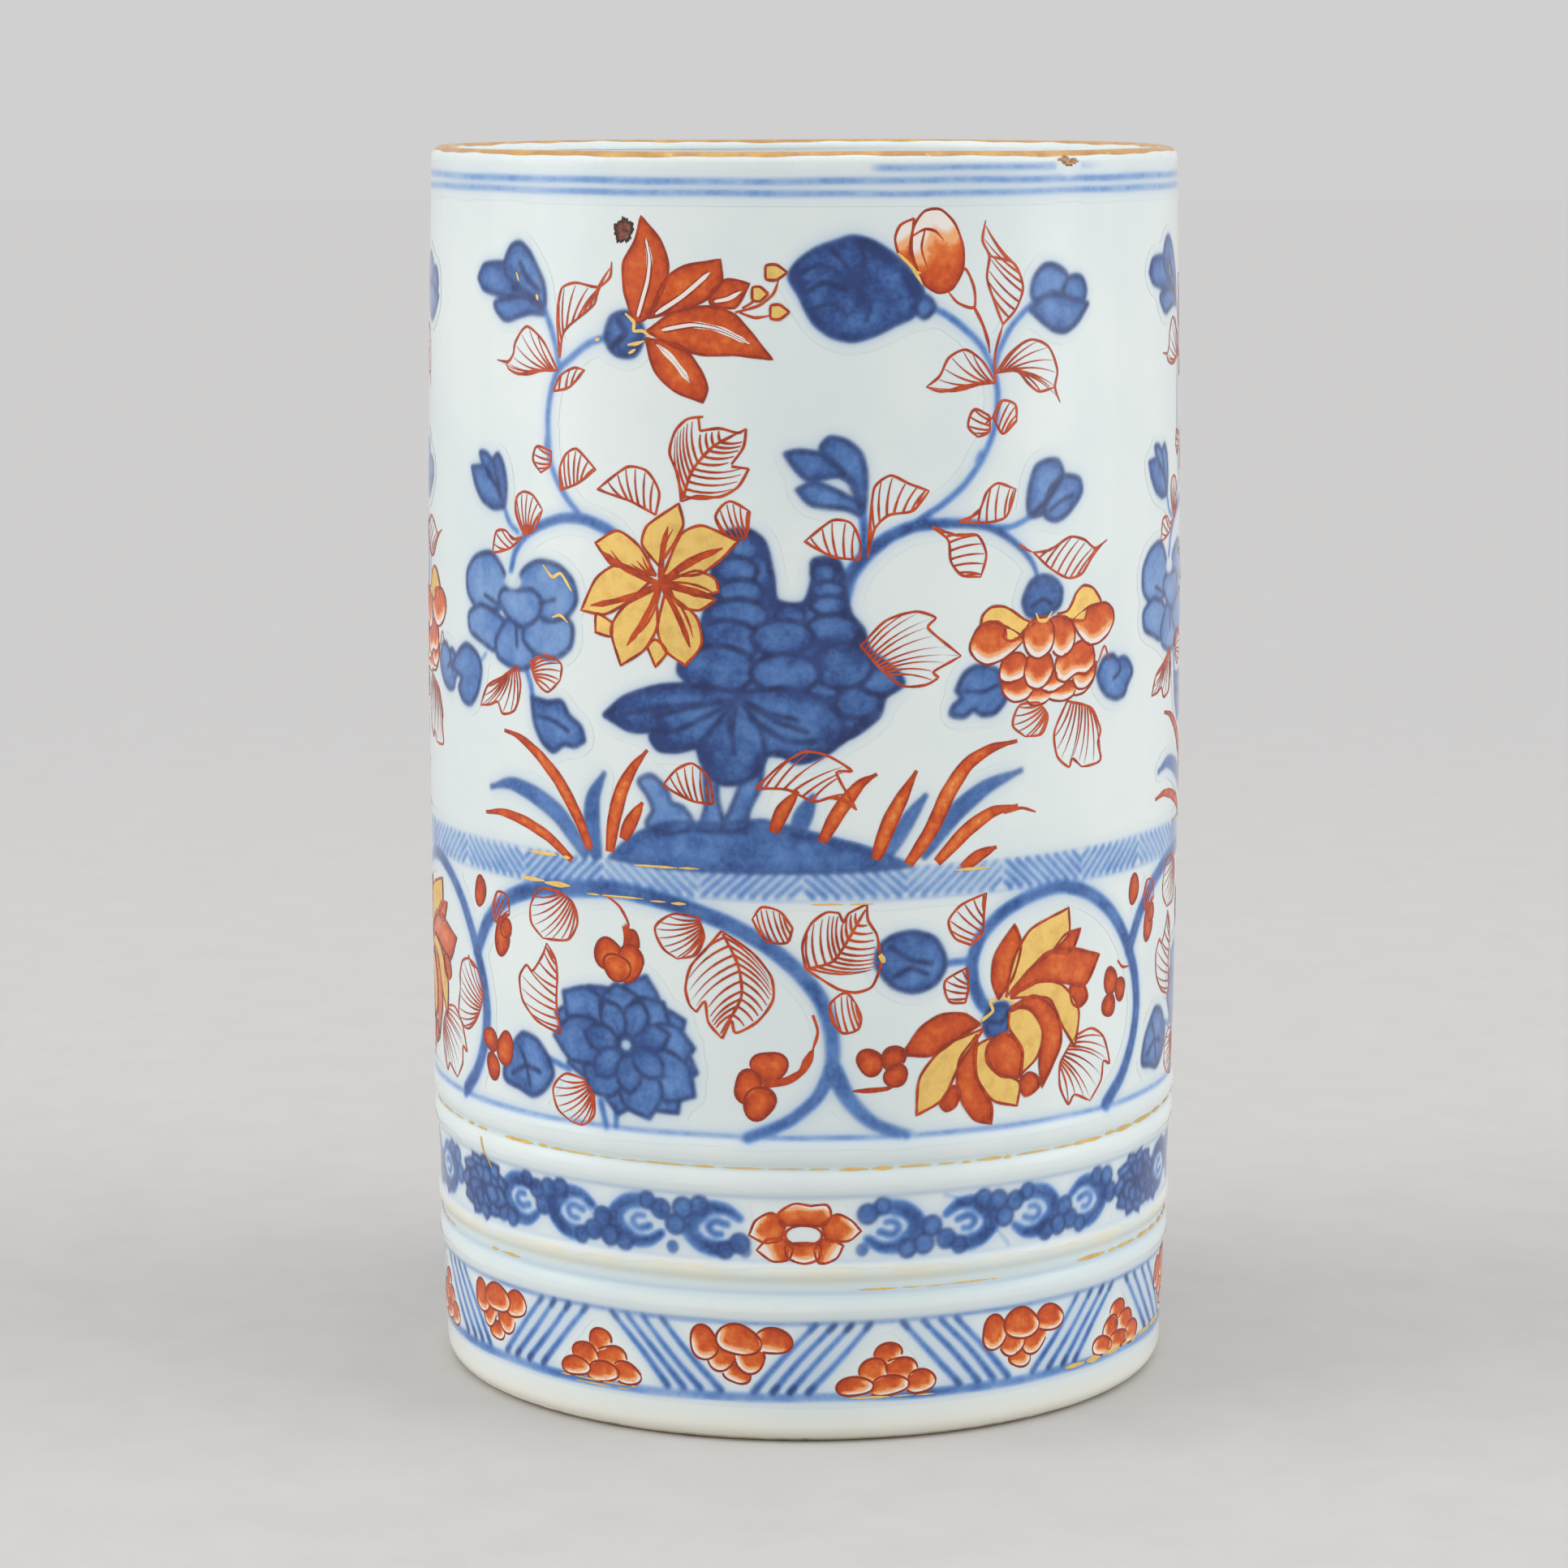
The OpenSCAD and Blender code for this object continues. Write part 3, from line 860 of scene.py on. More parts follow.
# Stems: tone, width at the start and at the end, points.
GARDEN_STEMS = [
    (0.7, 1.0, 0.8, [(-41, 164), (-39.5, 161), (-38.4, 158), (-37.9, 155)]),
    (0.7, 1.0, 0.85, [(-29.5, 160), (-32.5, 159), (-35.5, 157), (-38, 155), (-39.4, 152), (-40, 148.5),
     (-39.9, 145), (-39.5, 142), (-38, 139), (-36, 136.5), (-33.5, 134.3)]),
    (0.7, 0.8, 0.8, [(-49.5, 135), (-48, 132.5), (-46.2, 131.4)]),
    (0.76, 0.9, 1.8, [(-48, 124.6), (-46.8, 128.4), (-44.5, 131), (-41, 132.8), (-37, 134), (-33, 134),
     (-29.3, 132.8), (-27, 131.2)]),
    (0.72, 0.9, 0.9, [(-44.5, 112), (-43.4, 109.5), (-43, 107.2)]),
    (0.72, 0.9, 0.9, [(17.3, 164.5), (20, 163.7), (23, 161.7), (26, 159), (27.8, 156), (28.7, 153),
     (28.7, 150), (28, 146.5), (26.3, 143), (23.5, 139.5), (20, 136.7), (16, 134.3)]),
    (0.7, 0.8, 0.8, [(28.3, 155.5), (29, 158), (31, 161.3), (33.5, 163.6), (35.4, 165)]),
    (0.8, 2.5, 0.5, [(4.5, 121.5), (5.5, 124), (6.5, 127), (9, 130), (12, 132.3), (15.5, 133.7),
     (19, 134), (23, 134), (27, 133.4), (30, 132), (33, 129.8), (35, 127.5), (36, 125)]),
    (0.7, 0.7, 0.8, [(27, 133.4), (31, 133.1), (34.8, 134.5)]),
    (0.78, 1.3, 1.1, [(8.1, 137), (8.5, 133.5), (8.3, 130)]),
    (0.6, 1.2, 1.4, [(-40, 145.4), (-40, 144)]),
    (0.6, 1.3, 1.5, [(26.2, 143.6), (25.8, 142.6)]),
]
GRASS_BLUE = [
    (2.4, [(-33, 85.6), (-38, 91), (-43, 93.5), (-48, 94.5), (-53, 93.4)]),
    (2.4, [(-31.2, 85.4), (-32, 90), (-31.8, 94), (-29.8, 97.8)]),
    (2.4, [(-1.2, 90), (0, 93), (1.4, 95.8)]), (1.9, [(12, 87), (15, 92), (17.6, 95.4)]),
    (2.3, [(17, 86.6), (22, 92.5), (27, 96), (33, 98)]),
]
GRASS_RED = [
    (1.6, [(-35.6, 84.6), (-40, 87.5), (-45, 89.3), (-50, 90), (-54.4, 89.5)]),
    (2.0, [(-32.4, 86.5), (-34.5, 91), (-38, 96), (-42, 99.5), (-46, 101.6), (-49.4, 102.2)]),
    (2.3, [(-29, 86.4), (-28.3, 91), (-27, 95.5), (-25, 99), (-22.8, 101.6)]),
    (2.2, [(-26.8, 88.4), (-25.5, 91), (-23.6, 94)]),
    (2.2, [(-4.3, 90.4), (-3, 93.5), (-0.8, 96.4)]),
    (2.2, [(2.5, 89), (5, 93.5), (8, 97.3), (10.4, 98.7)]),
    (2.5, [(10.2, 86.4), (12.4, 92), (14.5, 96), (16.2, 99)]),
    (2.5, [(15, 85.5), (18.5, 90.5), (21, 95.5), (24, 99.5), (28, 101.6), (32.2, 102.3)]),
    (2.2, [(19.3, 85.6), (24, 90), (28, 92.3), (32.4, 92.9)]),
    (1.9, [(23.2, 84.5), (26, 86.2), (28.8, 87.2)]),
]

# Ribbed leaves: ribs, whether they fan, then the two sides, each from the base to the tip.
GARDEN_LEAVES = [
    (7, 0, [(-37.8, 156.8), (-38.3, 163), (-37.5, 166.6), (-35, 167.5), (-31, 167), (-29, 168.4),
     (-28.7, 170.6)], [(-37.8, 156.8), (-37, 160.5), (-34, 162.8), (-31.6, 164.6), (-31, 167)]),
    (7, 1, [(-38.2, 155), (-41, 159), (-44.4, 161), (-47, 158.6), (-47.4, 157), (-48.6, 155.8),
     (-51.3, 155.9)], [(-38.2, 155), (-43, 154.7), (-46, 154.1), (-48.6, 154.8), (-49, 155.7)]),
    (2, 0, [(-39, 152), (-37.6, 154.3), (-35, 155.5), (-33.2, 155.2)],
     [(-39, 152), (-36, 152.7), (-33.2, 155.2)]),
    (3, 0, [(-39.3, 143.4), (-42.2, 144), (-43, 142), (-41.4, 140.2)],
     [(-39.3, 143.4), (-39.6, 141.4), (-41.4, 140.2)]),
    (6, 0, [(-37.5, 138), (-37.7, 141), (-36.5, 143.2), (-34.6, 144), (-31.2, 141.2)],
     [(-37.5, 138), (-34.6, 139), (-31.2, 141.2)]),
    (6, 1, [(-44.8, 131), (-46.7, 134), (-46.5, 136.4), (-45, 137.3), (-43, 136.9), (-41, 134.9)],
     [(-44.8, 131), (-42.6, 132), (-41, 134.9)]),
    (3, 0, [(-45.3, 130.7), (-47.4, 130.3), (-49, 131.4), (-51.4, 131), (-52.3, 127.8)],
     [(-45.3, 130.7), (-48, 128.9), (-52.3, 127.8)]),
    (6, 0, [(29.7, 161.8), (28.3, 165), (27.1, 168.4), (27.5, 171.4), (26.4, 173.6), (26.9, 176.4)],
     [(29.7, 161.8), (32, 164), (33.2, 167), (31.6, 170.3), (27.5, 171.4)]),
    (6, 1, [(28.5, 153.6), (26.2, 156.8), (23.6, 158.4), (21, 157.3), (19.6, 154.8), (17.6, 153.3)],
     [(28.5, 153.6), (24, 153.4), (20, 152.6), (17.6, 153.3)]),
    (7, 1, [(28.5, 155), (31, 157.8), (34.5, 159.5), (37.8, 158.4), (39.5, 155), (39, 152.6),
     (40, 150.4)], [(28.5, 155), (32, 155.2), (34, 153.4), (36, 152.1), (39, 152.6)]),
    (3, 0, [(27.4, 149), (25, 150), (24, 147.6), (25.6, 146)], [(27.4, 149), (27.4, 146.8), (25.6, 146)]),
    (3, 0, [(28, 148.8), (29.4, 151), (31.8, 150.4), (32, 148)], [(28, 148.8), (29.6, 146.4), (32, 148)]),
    (4, 0, [(22.5, 134.2), (25.6, 135.4), (27, 138.2), (28.8, 139.4), (31.9, 138.4)],
     [(22.5, 134.2), (27, 133.9), (30.2, 134.6), (31.9, 138.4)]),
    (6, 0, [(18.5, 133.6), (22, 132.3), (25.4, 132.2), (26.9, 129.4), (26, 126.2)],
     [(18.5, 133.6), (20.9, 131.6), (21.3, 128.6), (23, 126.6), (26, 126.2)]),
    (7, 0, [(35, 129.2), (38, 129.4), (42, 131), (45, 130.4), (47.4, 129), (50.2, 130)],
     [(35, 129.2), (38, 126.8), (41.6, 125.1), (44.7, 125.7), (47.4, 129)]),
    (7, 0, [(9, 129.6), (9.4, 135), (10, 139.4), (12.3, 141), (15, 139.8), (18, 138.7)],
     [(9, 129.6), (10, 133.5), (12, 135.4), (15.6, 136), (18, 138.7)]),
    (4, 0, [(7.8, 129.2), (8, 131.4), (6.6, 134.4), (4, 134.8), (0, 131.8)],
     [(7.8, 129.2), (4, 129.7), (0, 131.8)]),
    (6, 0, [(-21.5, 135.2), (-21, 138.5), (-23, 141.4), (-26, 141.8), (-31, 138.4)],
     [(-21.5, 135.2), (-25.5, 137), (-31, 138.4)]),
    (5, 0, [(-11.4, 132.6), (-12.6, 135.2), (-10.6, 137.4), (-7.6, 136)],
     [(-11.4, 132.6), (-8.4, 132.2), (-7.6, 136)]),
    (5, 1, [(-43.5, 112.8), (-40.4, 114), (-37.4, 113), (-37.6, 110.6)],
     [(-43.5, 112.8), (-42.4, 110.2), (-40, 108.7), (-37.6, 110.6)]),
    (7, 1, [(-46.3, 112), (-45.6, 109), (-47, 105.4), (-49.8, 104.6), (-51, 106.2), (-53, 105.6),
     (-55.6, 105.2)], [(-46.3, 112), (-50, 109.9), (-53.6, 108.3), (-55.6, 105.2)]),
    (8, 1, [(8, 117), (11.6, 120.5), (16, 121.7), (19, 120.7), (17.8, 119.3), (22.9, 115.1)],
     [(8, 117), (11, 113.6), (14, 111.2), (17.5, 111.2), (19.4, 112.2), (18.6, 113), (22.9, 115.1)]),
    (6, 0, [(-12.9, 94.3), (-13.6, 98), (-16, 100), (-18.4, 99), (-20.5, 96.6)],
     [(-12.9, 94.3), (-16, 94.6), (-20.5, 96.6)]),
    (7, 0, [(-6.8, 96.7), (-3.6, 99.8), (0, 102), (3.4, 101.4), (6.8, 99.2), (4.6, 99), (7.5, 93.6)],
     [(-6.8, 96.7), (-2.4, 96.6), (1.4, 94.9), (4.6, 95.5), (7.5, 93.6)]),
    (5, 1, [(36, 107.6), (32.6, 107.4), (31.4, 104.6), (33.6, 102.8)],
     [(36, 107.6), (37.7, 105.4), (36.6, 103), (33.6, 102.8)]),
    (8, 1, [(41.5, 107.3), (39, 103), (39.6, 99.4), (42, 97.6), (42.6, 98.8), (44.6, 97.4)],
     [(41.5, 107.3), (46.6, 105.8), (48.8, 102.4), (48.2, 100.6), (48.9, 98), (46.4, 97.4), (44.6, 97.4)]),
]

# Filled petals, as sides that meet at corners.
GARDEN_PETALS = [
    # lily
    [[(-25, 162), (-26.6, 166.5), (-26.8, 170.5), (-25, 173.5), (-24, 177)],
     [(-24, 177), (-20.9, 173.6), (-19.7, 170), (-20.6, 166.6), (-23, 162.8), (-25, 162)]],
    [[(-22.8, 162.8), (-20.4, 168), (-17.5, 170.1), (-12, 171.1)],
     [(-12, 171.1), (-11.8, 168), (-14, 165.6), (-17, 164.2), (-22.8, 162.8)]],
    [[(-23, 161), (-19, 163.6), (-14, 164.6), (-9.8, 163.4), (-4.5, 157.3)],
     [(-4.5, 157.3), (-10, 157.9), (-14, 157.8), (-18, 158.6), (-23, 161)]],
    [[(-23.2, 160), (-17.8, 159.1), (-15, 156), (-13.8, 153.2), (-14.5, 151.2)],
     [(-14.5, 151.2), (-18.8, 152.8), (-21.8, 155.6), (-23.2, 160)]],
    [[(-13.4, 166.6), (-11, 168.4), (-7.8, 167.8)],
     [(-7.8, 167.8), (-9, 165.5), (-10, 164.4), (-13.4, 164.9), (-13.4, 166.6)]],
]
# The edges that are left bare on the red bud's petals and on the peony's: direction and depth in mm.
BUD_BARE = (-1.6, 2.6)
PEONY_BARE = (0, -1.1)
# The red bud by the big blue one.
BUD_PETALS = [
    [[(15.8, 176.8), (13.8, 175.9), (13, 174), (13.6, 171.8), (15, 170.4), (16.4, 169.4)],
     [(16.4, 169.4), (15.4, 172.6), (15.8, 176.8)]],
    [[(16.2, 169.6), (17.4, 167.6), (19.4, 166.4), (21.6, 167), (23.2, 169.6), (23.3, 172.6), (22, 176),
     (19.8, 178), (17.4, 177.8), (15.8, 175.8), (15.2, 172.6)]],
]
# The peony, bottom row first, whose petals are white along their lower edge.
PEONY = [
    [(42.4, 108.2), (44.8, 108.2), (46.8, 109.6), (47.8, 112.4), (46, 112.6), (44, 111)],
    [(33.4, 108.8), (34.6, 107.3), (37, 107.4), (38.6, 108.6), (37.4, 109.8), (35, 109.8)],
    [(37.9, 108), (40.4, 107.4), (42.6, 108), (43.4, 109.8), (41, 110.2), (38.6, 109.4)],
    [(29.4, 111), (29.8, 109.2), (31.4, 108), (33.6, 108.2), (34.9, 109.4), (33.6, 111.4), (31, 111.8)],
    [(35.9, 110.4), (37.2, 109), (39.2, 109), (41.2, 110.2), (40.4, 112.2), (37.4, 112)],
    [(42.6, 111), (43.4, 109), (45.4, 108.9), (47.2, 110.4), (47.2, 112.4), (44.6, 112.6)],
    [(29.2, 113), (29.2, 111.4), (30.8, 110.7), (33.3, 111.6), (34, 113.6), (32.6, 115), (30, 114.6)],
    [(33.3, 112), (34, 110.2), (35.8, 109.5), (37.8, 110.4), (38.7, 112.4), (37.8, 114.6), (34.6, 114.8)],
    [(39, 112.4), (39.4, 110.7), (41, 110.1), (43.2, 111.1), (45.4, 110.9), (47.1, 112.2), (47, 114.6),
     (45.6, 116), (41.6, 115), (39.6, 114)],
    [(42.6, 119), (43.3, 117.4), (44.4, 116.2), (46, 115.1), (48.2, 115.2), (50.4, 116.3), (51.8, 118),
     (51.6, 119.8), (49.8, 120.9), (46.2, 120.7)],
    [(38.1, 119.4), (38.1, 116), (38.9, 114.4), (40.6, 113.8), (42.4, 114.9), (43, 116.8), (42.4, 118.6),
     (41, 119.6)],
    [(24.4, 117), (24.3, 115.8), (25.2, 114.5), (27, 113.6), (29.6, 114.2), (31.6, 115.4), (33.2, 116.9),
     (31.6, 118.2), (27.6, 119.8), (25.6, 119)],
    [(33.2, 117.8), (33.4, 115.9), (34.3, 114.5), (36, 113.9), (38, 114.9), (38.8, 116.6), (38.5, 118.8),
     (37, 119.9), (34.6, 119.4)],
]
GOLD_PETALS = [
    [[(-21, 128), (-23.6, 131), (-22.8, 133.6), (-18, 136.9)],
     [(-18, 136.9), (-17.3, 134), (-18.6, 131.4), (-21, 128)]],
    [[(-20.4, 126.6), (-17.6, 132.6), (-14.5, 133.9), (-9.3, 131.8)],
     [(-9.3, 131.8), (-12, 129), (-15, 127), (-20.4, 126.6)]],
    [[(-21.4, 126.6), (-24, 130.6), (-27.5, 132.7), (-31.2, 130.8)],
     [(-31.2, 130.8), (-28.5, 127.9), (-25, 127.4), (-21.4, 126.6)]],
    [[(-22, 126), (-27, 128), (-31, 125.8), (-33.7, 121)],
     [(-33.7, 121), (-29.6, 120.7), (-26, 122.6), (-22, 126)]],
    [[(-19.4, 126), (-15.4, 127.5), (-12.6, 126.4), (-12.1, 124.6)],
     [(-12.1, 124.6), (-15.6, 124), (-19.4, 126)]],
    [[(-19.4, 125), (-16, 124.2), (-12.4, 123.5)],
     [(-12.4, 123.5), (-15, 121.9), (-18, 122.6), (-19.4, 125)]],
    [[(-21.6, 124.6), (-26.4, 122), (-28.6, 118.6), (-27, 113.5)],
     [(-27, 113.5), (-23.2, 116), (-21.2, 119.6), (-21.6, 124.6)]],
    [[(-20, 124.4), (-21.2, 119), (-20, 116), (-17, 114)],
     [(-17, 114), (-14.6, 117), (-15.4, 121), (-20, 124.4)]],
    [[(-28.4, 119.6), (-31, 120.7), (-31.2, 118)], [(-31.2, 118), (-28.6, 117.6), (-28.4, 119.6)]],
    [[(-22.8, 116.4), (-21.5, 113.6)], [(-21.5, 113.6), (-19.8, 115.8), (-21.5, 117.5), (-22.8, 116.4)]],
    # the peony's two top petals
    [[(26, 119.3), (26.3, 120.7), (27.7, 121.8), (29.7, 121.8), (31.4, 121), (33.2, 119.8), (35.2, 119)],
     [(35.2, 119), (33.4, 118.3), (32.2, 117.1), (30.8, 116.8), (29.7, 117.4), (30.1, 118.6),
     (28.8, 119.7), (27.2, 119.6), (26, 119.3)]],
    [[(39.4, 120), (41.4, 120.4), (42.5, 121.6), (43.2, 122.8), (44.8, 123.8), (46.8, 123.3),
     (48.3, 121.8), (48.7, 120.9), (46.4, 120.7), (45.4, 119.9), (45, 118.8), (43, 118.9), (41, 119.4)]],
]
# Gold anthers: the notch, then the length to the tip and the width.
ANTHERS = [(-5.5, 169.4, 3.1, 2.1), (-7.4, 166.4, 2.3, 2.0), (-4.8, 163.9, 2.7, 2.0)]
# Red ribs over the gilding: width, start, end.
GOLD_RIBS = [(0.85, (-20.7, 125.4), end) for end in (
    (-30.5, 129.8), (-32, 121.8), (-12.8, 123.7), (-11.5, 130.8), (-19.6, 133.6), (-26, 116.4),
    (-16.3, 116.6))]
GOLD_RIBS += [(0.35, (-22, 126.6), (-22.6 - 0.9 * i, 129.6 - 0.5 * i)) for i in range(5)]
# Pale slits in red petals: points from the base towards the tip.
GARDEN_SLITS = [
    [(-24.4, 163), (-22.9, 168), (-22.6, 171), (-23.2, 174)],
    [(-21.6, 163.4), (-17.5, 166), (-13.4, 169.4)],
    [(-20.6, 161.2), (-16, 162), (-12, 161.4), (-7.6, 159.4)],
    [(-21.4, 159.2), (-19, 157.2), (-16.2, 153.8)],
    [(-12.8, 165.3), (-10.8, 165.7), (-8.8, 166.8)],
]
# Thin red lines: width, points.
GARDEN_RED_LINES = [
    (0.5, [(25, 164.3), (26.3, 162), (27.2, 159.5), (27.5, 157.8)]),
    (0.4, [(15.6, 174.4), (17.4, 175.3), (19, 175), (20.2, 173.8)]),
    (0.35, [(17.4, 175.2), (16.9, 172.6), (17.8, 169.8)]),
    (0.4, [(21, 166.5), (22, 168.2), (23.6, 169.7), (25, 167), (25, 164.3), (22.4, 165), (21, 166.5)]),
    (0.4, [(-9.8, 163.8), (-6.4, 164.8), (-4.4, 166.4), (-3.6, 168.4)]),
    (0.4, [(-8.8, 164.4), (-7.4, 165.2), (-7, 166)]),
    (0.4, [(-9.2, 163.8), (-7, 163.1), (-4.8, 163.4)]),
    (0.42, [(28.4, 153.6), (28.4, 157.8), (29.7, 161.8)]),
    (0.4, [(32.5, 130.5), (33.8, 129.7), (35, 129.2)]),
    (0.45, [(30, 92), (33, 92.5), (35.6, 91.7)]), (0.4, [(28, 148.8), (26.6, 147.8)]),
    (0.4, [(50.6, 112.6), (49.6, 114.6), (48, 112.2)]),
]
# Ink drawn inside the washes: width, points.
GARDEN_INKS = [
    (1.1, [(3, 143.6), (5, 142), (6.6, 140), (7.8, 137)]),
    (0.8, [(4, 172.6), (6, 170.2), (7.4, 167.6)]),
    (0.8, [(-1.6, 168.6), (2, 170.4), (5.2, 169.3)]),
    (0.8, [(0.4, 166.8), (3, 168), (6, 166.8)]), (0.8, [(1.2, 164.4), (4, 165), (6, 163.6)]),
    (0.8, [(7.4, 167.6), (8.6, 171), (8, 173.6)]),
    (0.7, [(8.8, 162.6), (9.4, 165), (7.4, 167.6)]),
    (1.0, [(-41.4, 164.2), (-44.6, 165.8), (-47.6, 166.4)]),
    (0.9, [(-42, 166.2), (-44.6, 168), (-46, 170)]),
    (0.8, [(-49.8, 135.6), (-51.6, 138), (-53.6, 139.2)]),
    (0.8, [(35.4, 165), (38, 165.6), (41, 165.6)]),
    (0.9, [(34.9, 134.8), (37.6, 136.6), (40, 139.2)]),
    (0.7, [(38, 135), (40.4, 136.4), (42.6, 137)]), (0.8, [(-10.5, 109), (-10.6, 104.8)]),
    (0.8, [(-8.6, 109.4), (-4.6, 107.4), (-1, 106.6)]),
    (0.8, [(-11, 109), (-16, 108), (-22, 106.4)]), (0.7, [(-46.6, 117.8), (-46.4, 114.8)]),
    (0.7, [(-50.6, 120.4), (-54.4, 121.6)]), (0.7, [(-41.6, 121.4), (-38.6, 122.2)]),
    (0.7, [(-47.2, 123.4), (-44.8, 126)]),
    (0.7, [(34.6, 121.4), (36.6, 122.4), (38.4, 121.6)]),
    (0.8, [(-41.8, 105), (-38.8, 104.6), (-36.2, 103.4)]),
    (0.7, [(23.6, 110), (26.4, 109.8), (28.8, 110.6)]),
    (0.7, [(53.4, 112), (53.6, 110.6), (52, 109.6)]),
    (1.2, [(-28.6, 158.6), (-26.4, 160.6), (-27.6, 162.4)]),
]
# Loose gold lines over the blue: width, points.
GARDEN_GOLD_LINES = [
    (0.5, [(-26.4, 163.4), (-25, 162.2), (-25, 161), (-23.6, 161), (-22.4, 160.2)]),
    (0.5, [(-26, 159), (-24.6, 159.2), (-23.4, 159.6)]),
    (0.45, [(-25.8, 157.8), (-24.7, 158.4)]), (0.5, [(13.4, 172), (15.5, 170), (17, 167.6)]),
    (0.45, [(15.6, 169.4), (16.8, 169.2)]),
    (0.45, [(-40.8, 127), (-39, 125.4), (-37.4, 126), (-35.4, 123.6)]),
    (0.4, [(-39, 119.6), (-37.5, 120), (-36, 119)]),
    (0.5, [(35.4, 120.5), (36, 119.4), (37.4, 119.4), (38.4, 120.6)]),
    (0.5, [(-42.4, 165.6), (-42.1, 164.8)]), (0.45, [(-46.8, 168.6), (-46.2, 167.4)]),
    (0.5, [(-31.4, 159.5), (-30.6, 159.7)]),
]


def ellipse(middle_a, middle_z, width, height):
    turn = np.linspace(0, 2 * math.pi, 22, endpoint=False)
    return np.stack([middle_a + width / 2 * np.cos(turn), middle_z + height / 2 * np.sin(turn)], axis=-1)


def draw_garden(blue, red, gold, over, turn):
    """One sector of the garden: the rock, the flowering branches, leaves and grass."""
    def put(points):
        return spread(points, turn)
    draw_rock(blue, put)
    draw_branches(blue, put)
    for ribs, fan, one, two in GARDEN_LEAVES:
        leaf(red, one, two, ribs, turn, bool(fan))
    for sides, vein, ribs in GARDEN_LOBED:
        lobed_leaf(red, sides, vein, ribs, turn)
    for sides in GARDEN_PETALS:
        petal(red, sides, turn)
    for sides in BUD_PETALS:
        petal(red, sides, turn, BUD_BARE)
    overlapping(red, [smooth(put(points), closed=True) for points in PEONY], 0.55, 0.78, PEONY_BARE, 0.0015)
    for points in GARDEN_SLITS:
        draw_slit(over, smooth(put(points)))
    for width, points in GARDEN_RED_LINES:
        red.stroke(smooth(put(points)), width, LINE_TONE, (0.8, 0.4))
    for width, points in GRASS_RED:
        draw_blade(red, put(points), width)
    draw_gilding(gold, over, put)


def draw_rock(blue, put):
    """The mound, the blue grass, and the rock with the broad leaves in front of it."""
    for sides in TRUNK:
        blue.fill(outline_of([put(side) for side in sides]), 0.8, 0.8, ink=0.8)
    blue.fill(outline_of([put(side) for side in MOUND]), 0.9, 0.7, ink=0.55)
    blue.fill(outline_of([put(side) for side in SMALL_ROCK]), 0.7, 0.8, ink=0.75)
    for width, points in GRASS_BLUE:
        one, two = blade_edges(put(points), width * 1.15)
        blue.fill(np.concatenate([one, two[::-1]]), 0.82, 0.55, ink=0.5)
    blue.cover(outline_of([put(side) for side in ROCK_BACK]), 0.95, 1.1, 1.0)
    for lump in ROCK_LUMPS:
        tone, outline_width = (0.7, 0.8) if lump[2] < SMALL_LUMP else (0.9, 0.95)
        blue.cover(put(ellipse(*lump)), tone, outline_width, 1.0)
    blue.cover(outline_of([put(side) for side in LEAF_MASS]), 0.96, 1.0, 1.0)
    for points in LEAF_VEINS:
        blue.line(smooth(put(points)), 0.9, 0.9, 0.5, blue.ink)


def draw_branches(blue, put):
    """The stems, and the blue buds, flower and leaves on them."""
    for tone, start, end, points in GARDEN_STEMS:
        line = smooth(put(points))
        blue.line(line, start + 0.12, min(tone + 0.1, 0.9), end_width=end + 0.12)
        if start > 2:
            blue.line(line + (0, -0.35), 0.7, 0.5, 0.6, blue.ink)
    for tone, *sides in GARDEN_WASHES:
        blue.cover(outline_of([put(side) for side in sides]), tone)
    for width, points in GARDEN_INKS:
        blue.line(smooth(put(points)), width, 0.95, 0.5, blue.ink)
    blue.lift_out(put(ellipse(*FLOWER_EYE)))


def draw_slit(over, line):
    """A pale line left in a red petal, with a fine red line down each side."""
    over.stroke(line, 0.85, PALE, (0.3, 0.0))
    for side in (-0.28, 0.28):
        over.stroke(line + (side, -side), 0.26, 0.95, (0.8, 0.1))


def draw_gilding(gold, over, put):
    """The gold petals and anthers with their red lines, and loose gold lines over the blue."""
    for sides in GOLD_PETALS:
        gild(gold, over, [put(side) for side in sides])
    for a, z, length, width in ANTHERS:
        halves = [[(a + length, z), (a + length * 0.5, z + way * width * 0.5),
                   (a + 0.1, z + way * width * 0.45), (a, z)][::way] for way in (1, -1)]
        gild(gold, over, [put(half) for half in halves])
    for width, start, end in GOLD_RIBS:
        start, end = put([start, end])
        over.stroke(bent(start, end, 0.04), width, 0.8, (1, 0.25))
        if width > 0.5:
            over.stroke(bent(start, end * 0.9 + start * 0.1 + (0.9, 0.5), 0.1), 0.36, 0.85, (1, 0.2))
    for width, points in GARDEN_GOLD_LINES:
        gold.stroke(smooth(put(points), step=0.3), width, 0.5, (0.6, 0.4))


def blade_edges(points, width):
    """Both edges of a blade of grass: broadest a third of the way up, running out in a hair line."""
    line = smooth(points)
    run = np.linspace(0, 1, len(line))
    half = width * 0.42 * np.sin(np.clip(run * 0.9 + 0.14, 0, 1) * math.pi) ** 0.7
    half = np.maximum(half, 0.17)
    ahead = np.gradient(line, axis=0)
    ahead /= np.hypot(ahead[:, 0], ahead[:, 1])[:, None]
    across = np.stack([-ahead[:, 1], ahead[:, 0]], axis=-1) * half[:, None]
    return line + across, line - across


def draw_blade(red, points, width):
    """A red blade of grass, paler along its middle."""
    one, two = blade_edges(points, width)
    red.fill(np.concatenate([one, two[::-1]]), 0.3, 0.72, 0.8, 0.9)
    red.stroke(one, 0.32, 0.85, (1, 0.6))
    red.stroke(two, 0.32, 0.85, (1, 0.6))


def gild(gold, over, sides):
    """A gilded petal, edged with a fine red line."""
    shape = outline_of(sides)
    gold.fill(shape, 0.5, 0.5)
    over.outline(shape, 0.4, 0.9)


